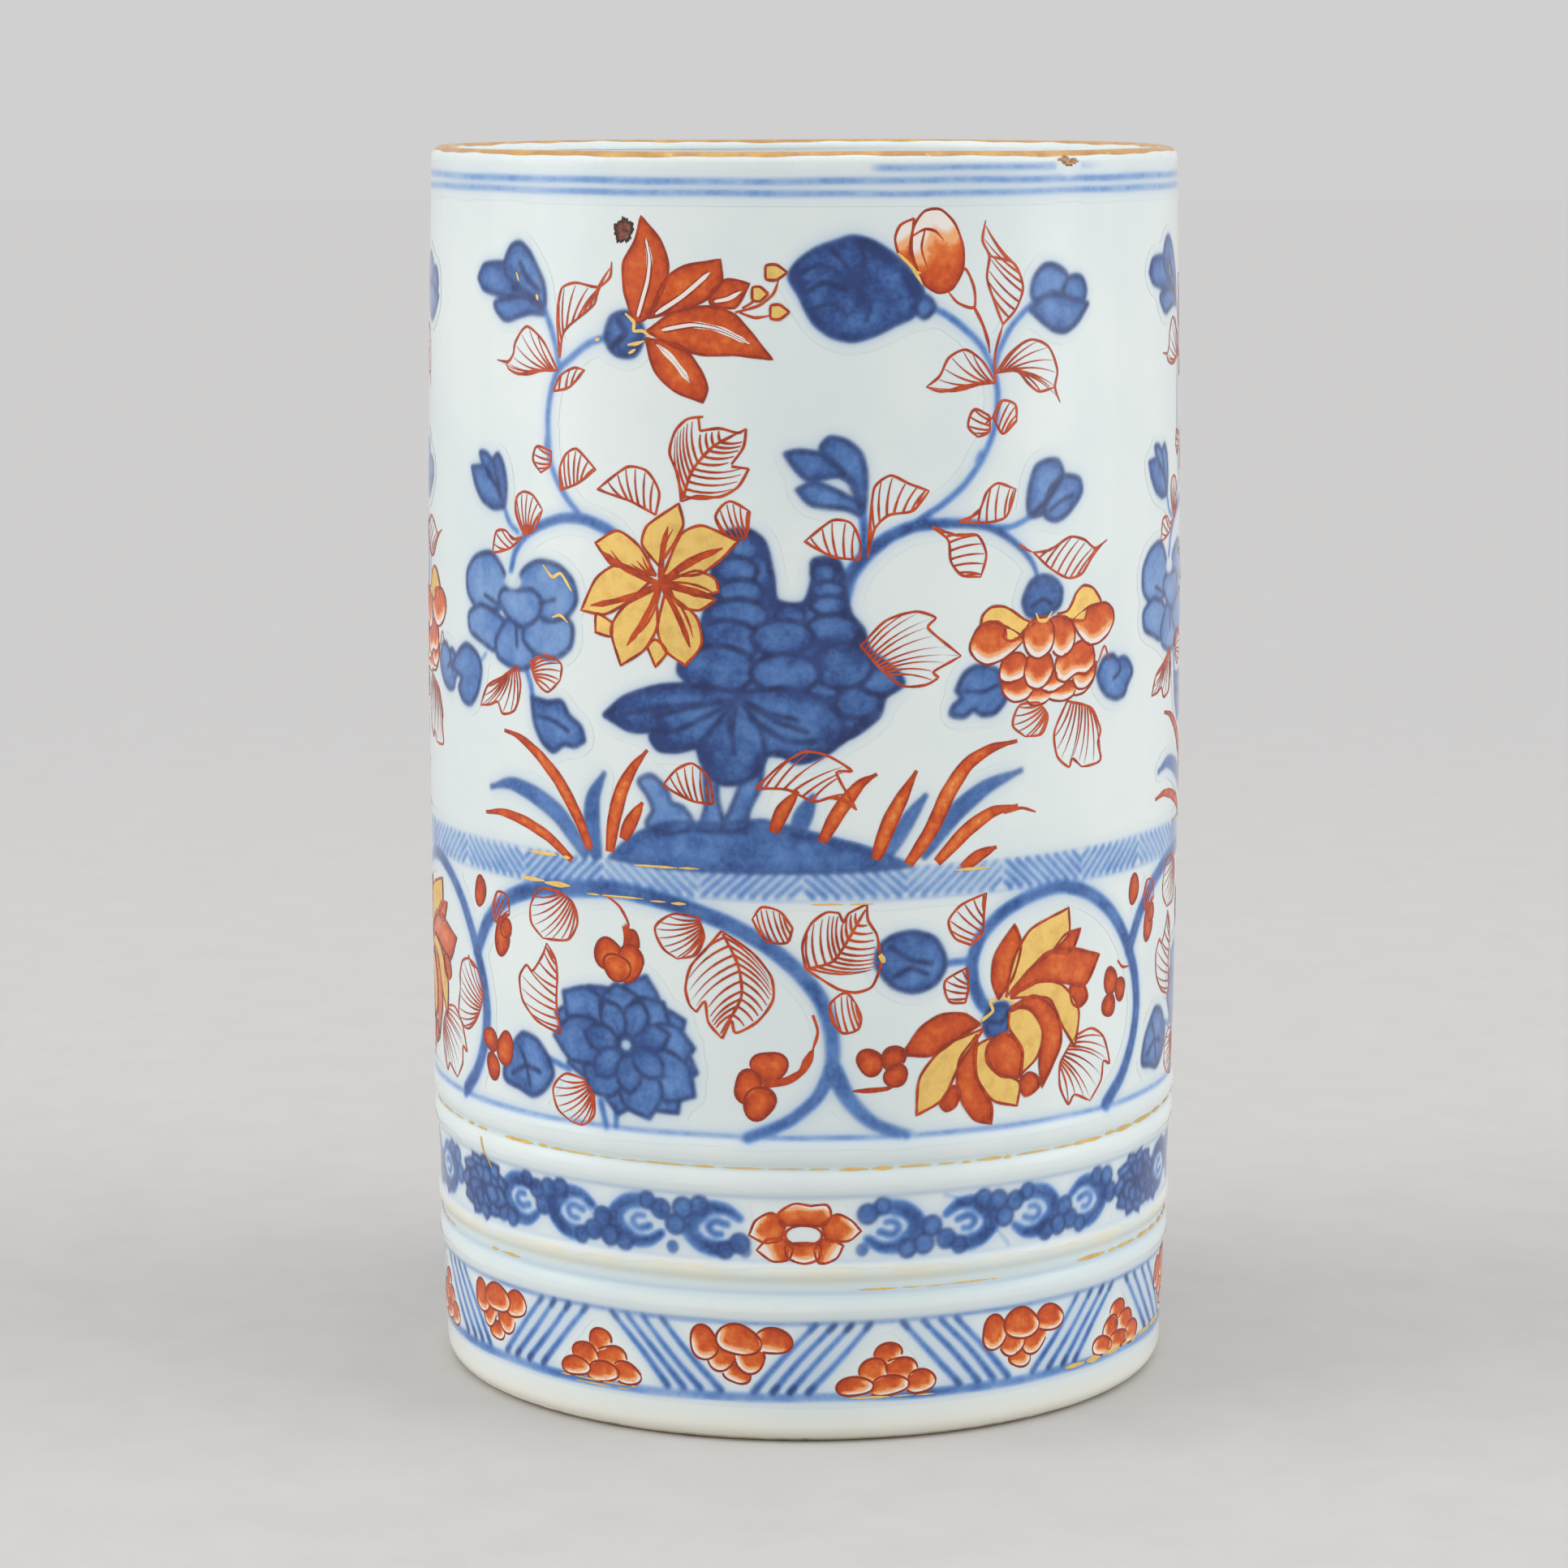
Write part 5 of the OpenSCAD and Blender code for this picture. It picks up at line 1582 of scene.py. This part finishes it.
def draw_lower_band(blue, red):
    """Berry clusters point down and point up by turns, between groups of four slanting strokes."""
    ring(blue, 18.3, 0.8, 0.55)
    ring(blue, 22.8, 0.4, 0.3)
    ring(blue, 7.0, 1.4, 0.85, wander=0.12, fade=0.45)
    for index in range(round(360 / CLUSTER_STEP)):
        place = -55 + index * CLUSTER_STEP
        down = index % 2 == 0
        berries = [(place + a + 0.3 * math.sin(index + a), z, wide * BERRY_SIZE, high * BERRY_SIZE)
                   for a, z, wide, high in (BERRIES_DOWN if down else BERRIES_UP)]
        overlapping(red, [uneven(*berry) for berry in berries[::-1]], 0.5, 0.8,
                    (0.5 * math.sin(index * 2.1 + 0.6), BERRY_BARE))
        lean = 4.6 if down else -4.6
        for stroke in range(4):
            a = place + CLUSTER_STEP / 2 + (stroke - 1.5) * 2.9 + 0.3 * math.sin(5 * stroke + index)
            line = smooth([(a - lean, 7.9), (a + 0.35 * math.sin(2 * index + stroke), 13), (a + lean, 18.0)])
            blue.line(line, 1.15, 0.86, 0.45, end_width=0.75)
            for end in (line[:3], line[-3:]):
                blue.line(end, 1.0, 0.45 + 0.3 * math.sin(index * 3 + stroke), 0.5, blue.ink)


def worn_line(gold, z, width, low, high, rise, seed):
    """A gilt line that has worn to dashes of uneven width."""
    chance = np.random.default_rng(seed)
    a = low
    while a < high - 0.4:
        length = min(chance.uniform(1.5, 7), high - a)
        drift = rise * (a - low) / max(high - low, 1) + 0.05 * math.sin(a)
        line = smooth([(a, z + drift), (a + length / 2, z + drift + 0.02), (a + length, z + drift)])
        gold.stroke(line, width * chance.uniform(0.65, 1.1), 0.5, (0.3, 0.3))
        a += length + chance.uniform(0.0, 1.2)


# Where gilding survives: height, width, start, end, rise, for each ring.
UPPER_GILT = [
    (41.3, 0.6, -62, -56, 0), (41.3, 0.55, -51, -38, 0), (41.3, 0.25, -38, 4, 0), (41.3, 0.5, 5, 13, 0),
    (41.3, 0.3, 14, 27, 0), (41.3, 0.5, 27, 32, 0), (41.3, 0.3, 33, 44, 0), (41.3, 0.65, 44, 84, 0.9),
    (41.3, 0.55, 96, 150, 0), (41.3, 0.25, 150, 178, 0), (41.3, 0.5, -176, -120, 0),
    (41.3, 0.3, -118, -64, 0),
]
LOWER_GILT = [
    (23.2, 0.6, -56, -48, 0), (23.2, 0.65, 46, 84, 0.2), (23.2, 0.25, 8, 30, 0), (23.2, 0.5, 100, 128, 0),
    (23.2, 0.3, -90, -70, 0), (23.2, 0.55, -170, -128, 0),
]
FOOT_GILT = [
    (7.1, 0.35, -40, -26, 0), (6.5, 0.25, -37, -27, 0), (6.9, 0.35, 7, 20, 0), (7.1, 0.9, 44, 80, 0.7),
    (7.1, 0.5, 92, 140, 0), (7.0, 0.3, -100, -74, 0), (7.1, 0.7, -168, -124, 0),
]
BORDER_GILT = [
    (85.0, 0.55, -44, -36, -0.2), (84.8, 0.35, -25, -15, 0), (84.3, 0.5, 22, 28, 0),
    (81.0, 0.85, -46, -36, -0.5), (80.0, 0.4, -33, -17, -0.4), (80.0, 0.3, 1, 10, 0),
    (84.9, 0.5, 76, 86, 0), (80.8, 0.7, 128, 142, -0.3), (84.9, 0.4, -150, -138, 0),
]


def draw_gilt_rings(material):
    for name, node, spans in (("gilt_ring_upper", "upper_gilt_ring", UPPER_GILT),
                              ("gilt_ring_lower", "lower_gilt_ring", LOWER_GILT),
                              ("gilt_ring_foot", "foot_gilt_ring", FOOT_GILT)):
        gold = Paint(GOLD_LIFT)
        for index, (z, width, low, high, rise) in enumerate(spans):
            worn_line(gold, z, width, low, high, rise, index + 3)
        gold.build(name, material, "gilding", [node])


def draw_rim(blue):
    """The two blue lines under the lip, and the stray third one."""
    ring(blue, 182.0, 1.0, 0.6, soft=0.6, fade=0.2)
    ring(blue, 180.35, 0.95, 0.58, soft=0.6, fade=0.2)
    ring(blue, 183.8, 0.9, 0.55, low=9, high=50)
    blue.lift_out(ellipse(CHIP[0], CHIP[1], 5.2, 3.2), 0.0)


def decorate(cobalt, iron_red, gilding):
    """All the painting, in its own pieces, from the lip down to the foot."""
    blue = Canvas()
    garden_red, vine_red, scroll_red, berry_red = (Paint(RED_LIFT) for _ in range(4))
    gold = Paint(GOLD_LIFT)
    over = Paint(GOLD_LIFT + 0.02)
    draw_rim(blue)
    draw_border(blue)
    ring(blue, 45.9, 0.8, 0.62)
    for turn in TURNS:
        draw_garden(blue, garden_red, gold, over, turn)
        draw_vines(blue, vine_red, gold, over, turn)
    leaf(vine_red, *HEART_LEAF, 8, 0, True)
    gold.stroke(smooth(BAND_GILT, step=0.3), 0.45, 0.5, (1, 0.3))
    blue.cover(outline_of(LONE_BUD), 0.82)
    blue.line(smooth(LONE_BUD_STALK), 0.6, 0.8)
    draw_scroll_band(blue, scroll_red)
    draw_lower_band(blue, berry_red)
    for index, (z, width, low, high, rise) in enumerate(BORDER_GILT):
        worn_line(gold, z, width, low, high, rise, 40 + index)
    blue.bleed()
    blue.build("cobalt_rim_line_upper", 181.25, 184.6, -180, 180, cobalt, ["rim_line_upper"])
    blue.build("cobalt_rim_line_lower", 179, 181.25, -180, 180, cobalt, ["rim_line_lower"])
    for side, left in (("front", -60), ("right", 60), ("left", -180)):
        blue.build("cobalt_garden_" + side, 80, 179, left, left + SECTOR, cobalt)
        blue.build("cobalt_vines_" + side, 44, 80, left, left + SECTOR, cobalt)
    blue.build("cobalt_scroll_band", 26, 38.5, -180, 180, cobalt)
    blue.build("cobalt_lower_band", 5.5, 24, -180, 180, cobalt)
    garden_red.build("red_garden", iron_red, "iron_red")
    vine_red.build("red_vines", iron_red, "iron_red")
    scroll_red.build("red_scroll_band", iron_red, "iron_red")
    berry_red.build("red_berries", iron_red, "iron_red")
    gold.build("gilded_petals", gilding, "gilding")
    over.build("red_over_gilding", iron_red, "iron_red")
    draw_gilt_rings(gilding)


# ---------------------------------------------------------------- the pot itself

AXIS_R = 0.5         # radius of the small cap that closes a turned disc on the axis
GLAZE_T = 0.33       # thickness of the outer glaze in mm
CHIP = (42.0, 183.95, 2.3, 1.45)       # where the lip is chipped: a, z and half sizes
NICK = (88.0, 184.6, 2.2, 1.2)
RAGGED = 0.18        # how uneven a chip's rim is
LIP_ROUND = 1.6      # the radius of the lip's half-round edge, in mm
LIP_RISE = 6         # steps over which the wall runs into the half-round edge
LIP_QUARTER = 11     # steps before the top of the edge
LIP_INSIDE = 16      # the first step that counts as the inside
LIP_BACK = 0.3       # how far the back of the thin lip piece lies behind its face
IRON_SPOT = (-26.8, 175.0, 1.45, 1.95)


def blot(a, z, place):
    """1 in the middle of an uneven spot, 0 at its rim and beyond."""
    centre_a, centre_z, half_a, half_z = place
    da = ((a - centre_a + 180) % 360 - 180) / half_a
    dz = (z - centre_z) / half_z
    bearing = np.arctan2(dz, da)
    reach = 1 + RAGGED * np.sin(3 * bearing + 1) + RAGGED * 0.6 * np.sin(7 * bearing + 2)
    return np.clip(1 - np.hypot(da, dz) / reach, 0, 1)


def chips(a, z):
    """How badly the pot is chipped at (a, z), 0 to 1."""
    return np.maximum(blot(a, z, CHIP), blot(a, z, NICK))


def wall_heights():
    """Heights of the body's rows: close on the mouldings and the lip, wider on the plain wall."""
    bands = [(WALL_Z[0], 4, 0.35), (4, 17, 0.9), (17, 47, 0.34), (47, 182, 1.25), (182, LIP_Z - 0.6, 0.4)]
    return np.array([z for start, stop, step in bands for z in np.arange(start, stop - 0.01, step)])


def build_outer_glaze(material):
    """The glazed wall outside, a thin shell with both mouldings, up to just under the lip."""
    columns = 360
    heights = wall_heights()
    angles = np.arange(columns) * 360 / columns - 180
    a, z = np.meshgrid(angles, heights)
    outer = on_wall(a, z, -0.2 * np.sqrt(chips(a, z)))
    keep = [0] + [i for i in range(1, len(heights) - 1) if i % 9 == 0] + [len(heights) - 1]
    inner = on_wall(a[keep][::-1], z[keep][::-1], -GLAZE_T)
    verts = np.concatenate([outer.reshape(-1, 3), inner.reshape(-1, 3)])
    rows = len(heights) + len(keep)
    zeros = np.zeros(len(keep) * columns)
    new_piece("outer_glaze_skin", verts.tolist(), turned_faces(rows, columns), material,
              ["outer_glaze"], 40, {"chip": np.concatenate([chips(a, z).ravel(), zeros])})
    return float(heights[-1])


def build_iron_spot(material):
    """The burnt iron spot near the rim, a small pitted blister."""
    middle_a, middle_z, half_a, half_z = IRON_SPOT
    columns, circles = 84, 9
    verts, values = [], []
    for circle in range(circles):
        share = circle / (circles - 1)
        for column in range(columns):
            bearing = 2 * math.pi * column / columns
            ragged = (0.12 * math.sin(2 * bearing + 1.1) + 0.09 * math.sin(5 * bearing)
                      + 0.06 * math.sin(11 * bearing + 2) + 0.05 * math.sin(19 * bearing))
            reach = share * (1 + ragged * share)
            a = middle_a + reach * half_a * math.cos(bearing)
            z = middle_z + reach * half_z * math.sin(bearing)
            rim = math.exp(-((share - 0.84) / 0.16) ** 2)
            lift = 0.02 + 0.12 * rim - 0.1 * math.exp(-(share / 0.5) ** 2) * math.sin(3 * bearing) ** 2
            lift = 0.005 if circle == circles - 1 else max(lift, 0.015)
            verts.append(tuple(on_wall(a, z, lift)))
            values.append(0.5 + 0.5 * rim)
    faces = turned_faces(circles, columns, closed=False)
    faces.append(tuple(range(columns - 1, -1, -1)))
    new_piece("iron_spot", verts, faces, material, values={"crust": values})


def spot_material():
    n = Nodes("burnt_iron")
    colour = n.mix(n.span(n.noise(0.8, 4.0, 0.7), 0.4, 0.62), srgb(84, 40, 30), srgb(132, 74, 56))
    colour = n.mix(n.span(n.attribute("crust"), 0.66, 0.86, 0.0, 0.92), colour, srgb(44, 28, 18))
    return n.finish(colour, 0.42, n.bump(n.noise(0.5, 4.0), 0.1))


def lip_path(start, middle_r, middle_z):
    """The lip's section as (radius, height): up the last of the wall, over the edge, and inside."""
    path = [(float(np.interp(z, WALL_Z, WALL_R)), float(z)) for z in np.linspace(start, middle_z, 6)[:-1]]
    reach = path[-1][0] - middle_r
    for step in range(23):
        angle = math.radians(step * 8)
        share = min(1.0, step / LIP_RISE)
        across = reach * (1 - share) + LIP_ROUND * share if step < LIP_QUARTER else LIP_ROUND
        path.append((middle_r + across * math.cos(angle), middle_z + LIP_ROUND * math.sin(angle)))
    return path


def build_lip(material, start):
    """The lip as one fine band: from the glazed wall, over the half-round edge, to the inside."""
    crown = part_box("lip_dressing")[1].z / MM
    middle_r = max(section("lip_dressing"), key=lambda point: point[1])[0]
    middle_z = crown - LIP_ROUND
    path = lip_path(start, middle_r, middle_z)
    columns = 1440
    angles = np.arange(columns) * 360 / columns - 180
    around = np.radians(angles)

    def row(radii, heights):
        return np.stack([radii * np.sin(around), -radii * np.cos(around), heights], axis=-1)
    rows, dressing, chipped = [], [], []
    border = (middle_z + 0.92 + 0.1 * np.sin(5 * around + 1) + 0.07 * np.sin(17 * around)
              + 0.05 * np.sin(43 * around + 2))
    for index, (radius, height) in enumerate(path):
        hurt = chips(angles, height)
        inward = 0.26 * np.sqrt(hurt) * (height > start + 0.3)
        sunk = height - 0.15 * np.sqrt(hurt) * (height > middle_z + 0.4)
        waver = (0.05 * np.sin(3 * around + 1) + 0.04 * np.sin(7 * around)) * (height > middle_z)
        rows.append(row(radius + unevenness(angles, height) - inward, sunk + waver))
        edge = border if index < LIP_INSIDE else border + 0.3
        dressing.append(np.clip((height - edge) / 0.35 + 0.5, 0, 1))
        chipped.append(hurt)
    for index in range(len(path) - 1, -1, -4):
        radius, height = path[index]
        radius += -LIP_BACK if index < LIP_INSIDE else LIP_BACK
        height -= LIP_BACK
        rows.append(row(radius + unevenness(angles, height), np.full(columns, height)))
        dressing.append(np.zeros(columns))
        chipped.append(np.zeros(columns))
    verts = np.concatenate(rows) * MM
    new_piece("lip_edge", verts.tolist(), turned_faces(len(rows), columns), material,
              ["lip_dressing"], 50, {"dressing": np.concatenate(dressing), "chip": np.concatenate(chipped)})


def build_turned_node(node, name, material, columns=240, on_axis=False):
    """A smooth copy of a turned CAD node."""
    loop = section(node)
    if on_axis:
        loop = [(AXIS_R, loop[0][1])] + loop + [(AXIS_R, loop[-1][1])]
    dense = fine_loop(loop)
    if on_axis:
        dense = dense[:dense.index(loop[-1]) + 1]
    lathe(name, dense, columns, material, [node], on_axis)


def clothe(node, material):
    """Give a CAD node that stays its own material."""
    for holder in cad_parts[node].material_slots:
        holder.material = material


def build_outside(glaze):
    """The glazed wall, the lip and the iron spot."""
    start = build_outer_glaze(glaze)
    build_lip(lip_material(), start)
    build_iron_spot(spot_material())


def build_inside_and_foot(glaze):
    """The inside, the foot and the recess, and clay for the two nodes that keep their CAD shape."""
    build_turned_node("inner_glaze", "inner_glaze_skin", inner_glaze_material(), 360, on_axis=True)
    bare = clay_material("bare_foot", srgb(222, 212, 192), srgb(196, 180, 152))
    build_turned_node("foot_ring", "bare_foot_ring", bare)
    build_turned_node("base_glaze", "base_glaze_skin", glaze, on_axis=True)
    body_clay = clay_material("fired_body", srgb(226, 220, 208), srgb(206, 196, 178))
    clothe("clay_wall", body_clay)
    clothe("floor_slab", body_clay)


# ---------------------------------------------------------------- the setting

FLOOR_REACH = 6.0    # metres from the pot to the floor's edge
# The camera: lens in mm, place in metres, how far it looks down and turns in degrees.
LENS = 106
CAMERA_PLACE = (0, -0.703, 0.1985)
CAMERA_DIP = 8.9
CAMERA_TURN = 0.25
TOP_LIGHT = 0.92
SIDE_LIGHTS = ((-1, 1.47), (1, 1.37))    # side, strength
SIDE_BEARING = 78                        # how far round from the front the side lights stand
GLEAM_WIDTHS = (0.45, 0.8, 1.15, 1.5)    # the widths of the soft boxes that make one side's gleam
GLEAM_HEIGHT = 1.5
GLEAM_POWER = 2.1


def build_stage():
    """A pale matt floor, its colour painted a little darker towards the back as painted shading, and a plain
    pale backdrop colour.
    """
    n = Nodes("pale_floor")
    speck = n.span(n.noise(14, 5.0, 0.6), 0.3, 0.75)
    away = n.add("ShaderNodeSeparateXYZ", {"Vector": n.place()}).outputs["Y"]
    # painted shading: the floor's colour darkens towards the back so its brightness meets the backdrop
    shade = n.mix(n.span(away, -0.15, 0.75), srgb(197, 195, 192), srgb(188, 187, 187))
    colour = n.mix(n.math("MULTIPLY", speck, 0.35), shade, srgb(186, 184, 182))
    n.finish(colour, n.span(n.noise(40, 3.0), 0.3, 0.7, 0.6, 0.7), n.bump(n.noise(1.2, 3.0), 0.02),
             Specular_IOR_Level=0.0)
    mesh = bpy.data.meshes.new("floor")
    corners = [(x * FLOOR_REACH, y * FLOOR_REACH, 0) for x, y in ((-1, -1), (1, -1), (1, 1), (-1, 1))]
    mesh.from_pydata(corners, [], [(0, 1, 2, 3)])
    mesh.materials.append(n.material)
    floor = bpy.data.objects.new("floor", mesh)
    bpy.context.scene.collection.objects.link(floor)

    world = bpy.data.worlds.new("studio")
    world.use_nodes = True
    back = world.node_tree.nodes["Background"]
    back.inputs["Color"].default_value = srgb(208, 208, 208)
    back.inputs["Strength"].default_value = 1.0
    bpy.context.scene.world = world


def build_lights():
    """Soft light from above and from both sides, and nested boxes for the gleam down each side."""
    sun("top_light", (12, 0, 0), 100, TOP_LIGHT)
    for side, strength in SIDE_LIGHTS:
        sun("side_light", (68, 0, SIDE_BEARING * side), 50, strength)
        for width in GLEAM_WIDTHS:
            soft_box("side_gleam", SIDE_BEARING * side, 22, 1.25, (width, GLEAM_HEIGHT), GLEAM_POWER)


def sun(name, degrees, angle, strength):
    """Even light from one direction. The side ones leave no gleam of their own."""
    light = bpy.data.lights.new(name, "SUN")
    light.angle = math.radians(angle)
    light.energy = strength
    lamp = bpy.data.objects.new(name, light)
    lamp.rotation_euler = [math.radians(value) for value in degrees]
    lamp.visible_glossy = name == "top_light"
    bpy.context.scene.collection.objects.link(lamp)


def soft_box(name, azimuth, elevation, distance, size, power):
    """A rectangular light aimed at the middle of the pot, only for its gleam on the glaze."""
    light = bpy.data.lights.new(name, "AREA")
    light.shape = "RECTANGLE"
    light.size, light.size_y = size
    light.energy = power
    lamp = bpy.data.objects.new(name, light)
    turned, raised = math.radians(azimuth), math.radians(elevation)
    target = Vector((0, 0, 0.09))
    lamp.location = target + distance * Vector((math.sin(turned) * math.cos(raised),
                                                -math.cos(turned) * math.cos(raised), math.sin(raised)))
    lamp.rotation_euler = (target - lamp.location).to_track_quat("-Z", "Y").to_euler()
    lamp.visible_diffuse = False
    bpy.context.scene.collection.objects.link(lamp)


def build_camera():
    """A long lens a little above the rim, looking slightly down."""
    camera = bpy.data.objects.new("camera", bpy.data.cameras.new("camera"))
    camera.data.lens = LENS
    camera.data.sensor_width = 36
    camera.location = CAMERA_PLACE
    camera.rotation_euler = (math.radians(90 - CAMERA_DIP), 0, math.radians(CAMERA_TURN))
    bpy.context.scene.collection.objects.link(camera)
    bpy.context.scene.camera = camera


bpy.context.scene.view_settings.view_transform = "Standard"
build_stage()
build_lights()
build_camera()
glaze = outer_glaze_material()
build_outside(glaze)
decorate(cobalt_material(), iron_red_material(), gilding_material())
build_inside_and_foot(glaze)
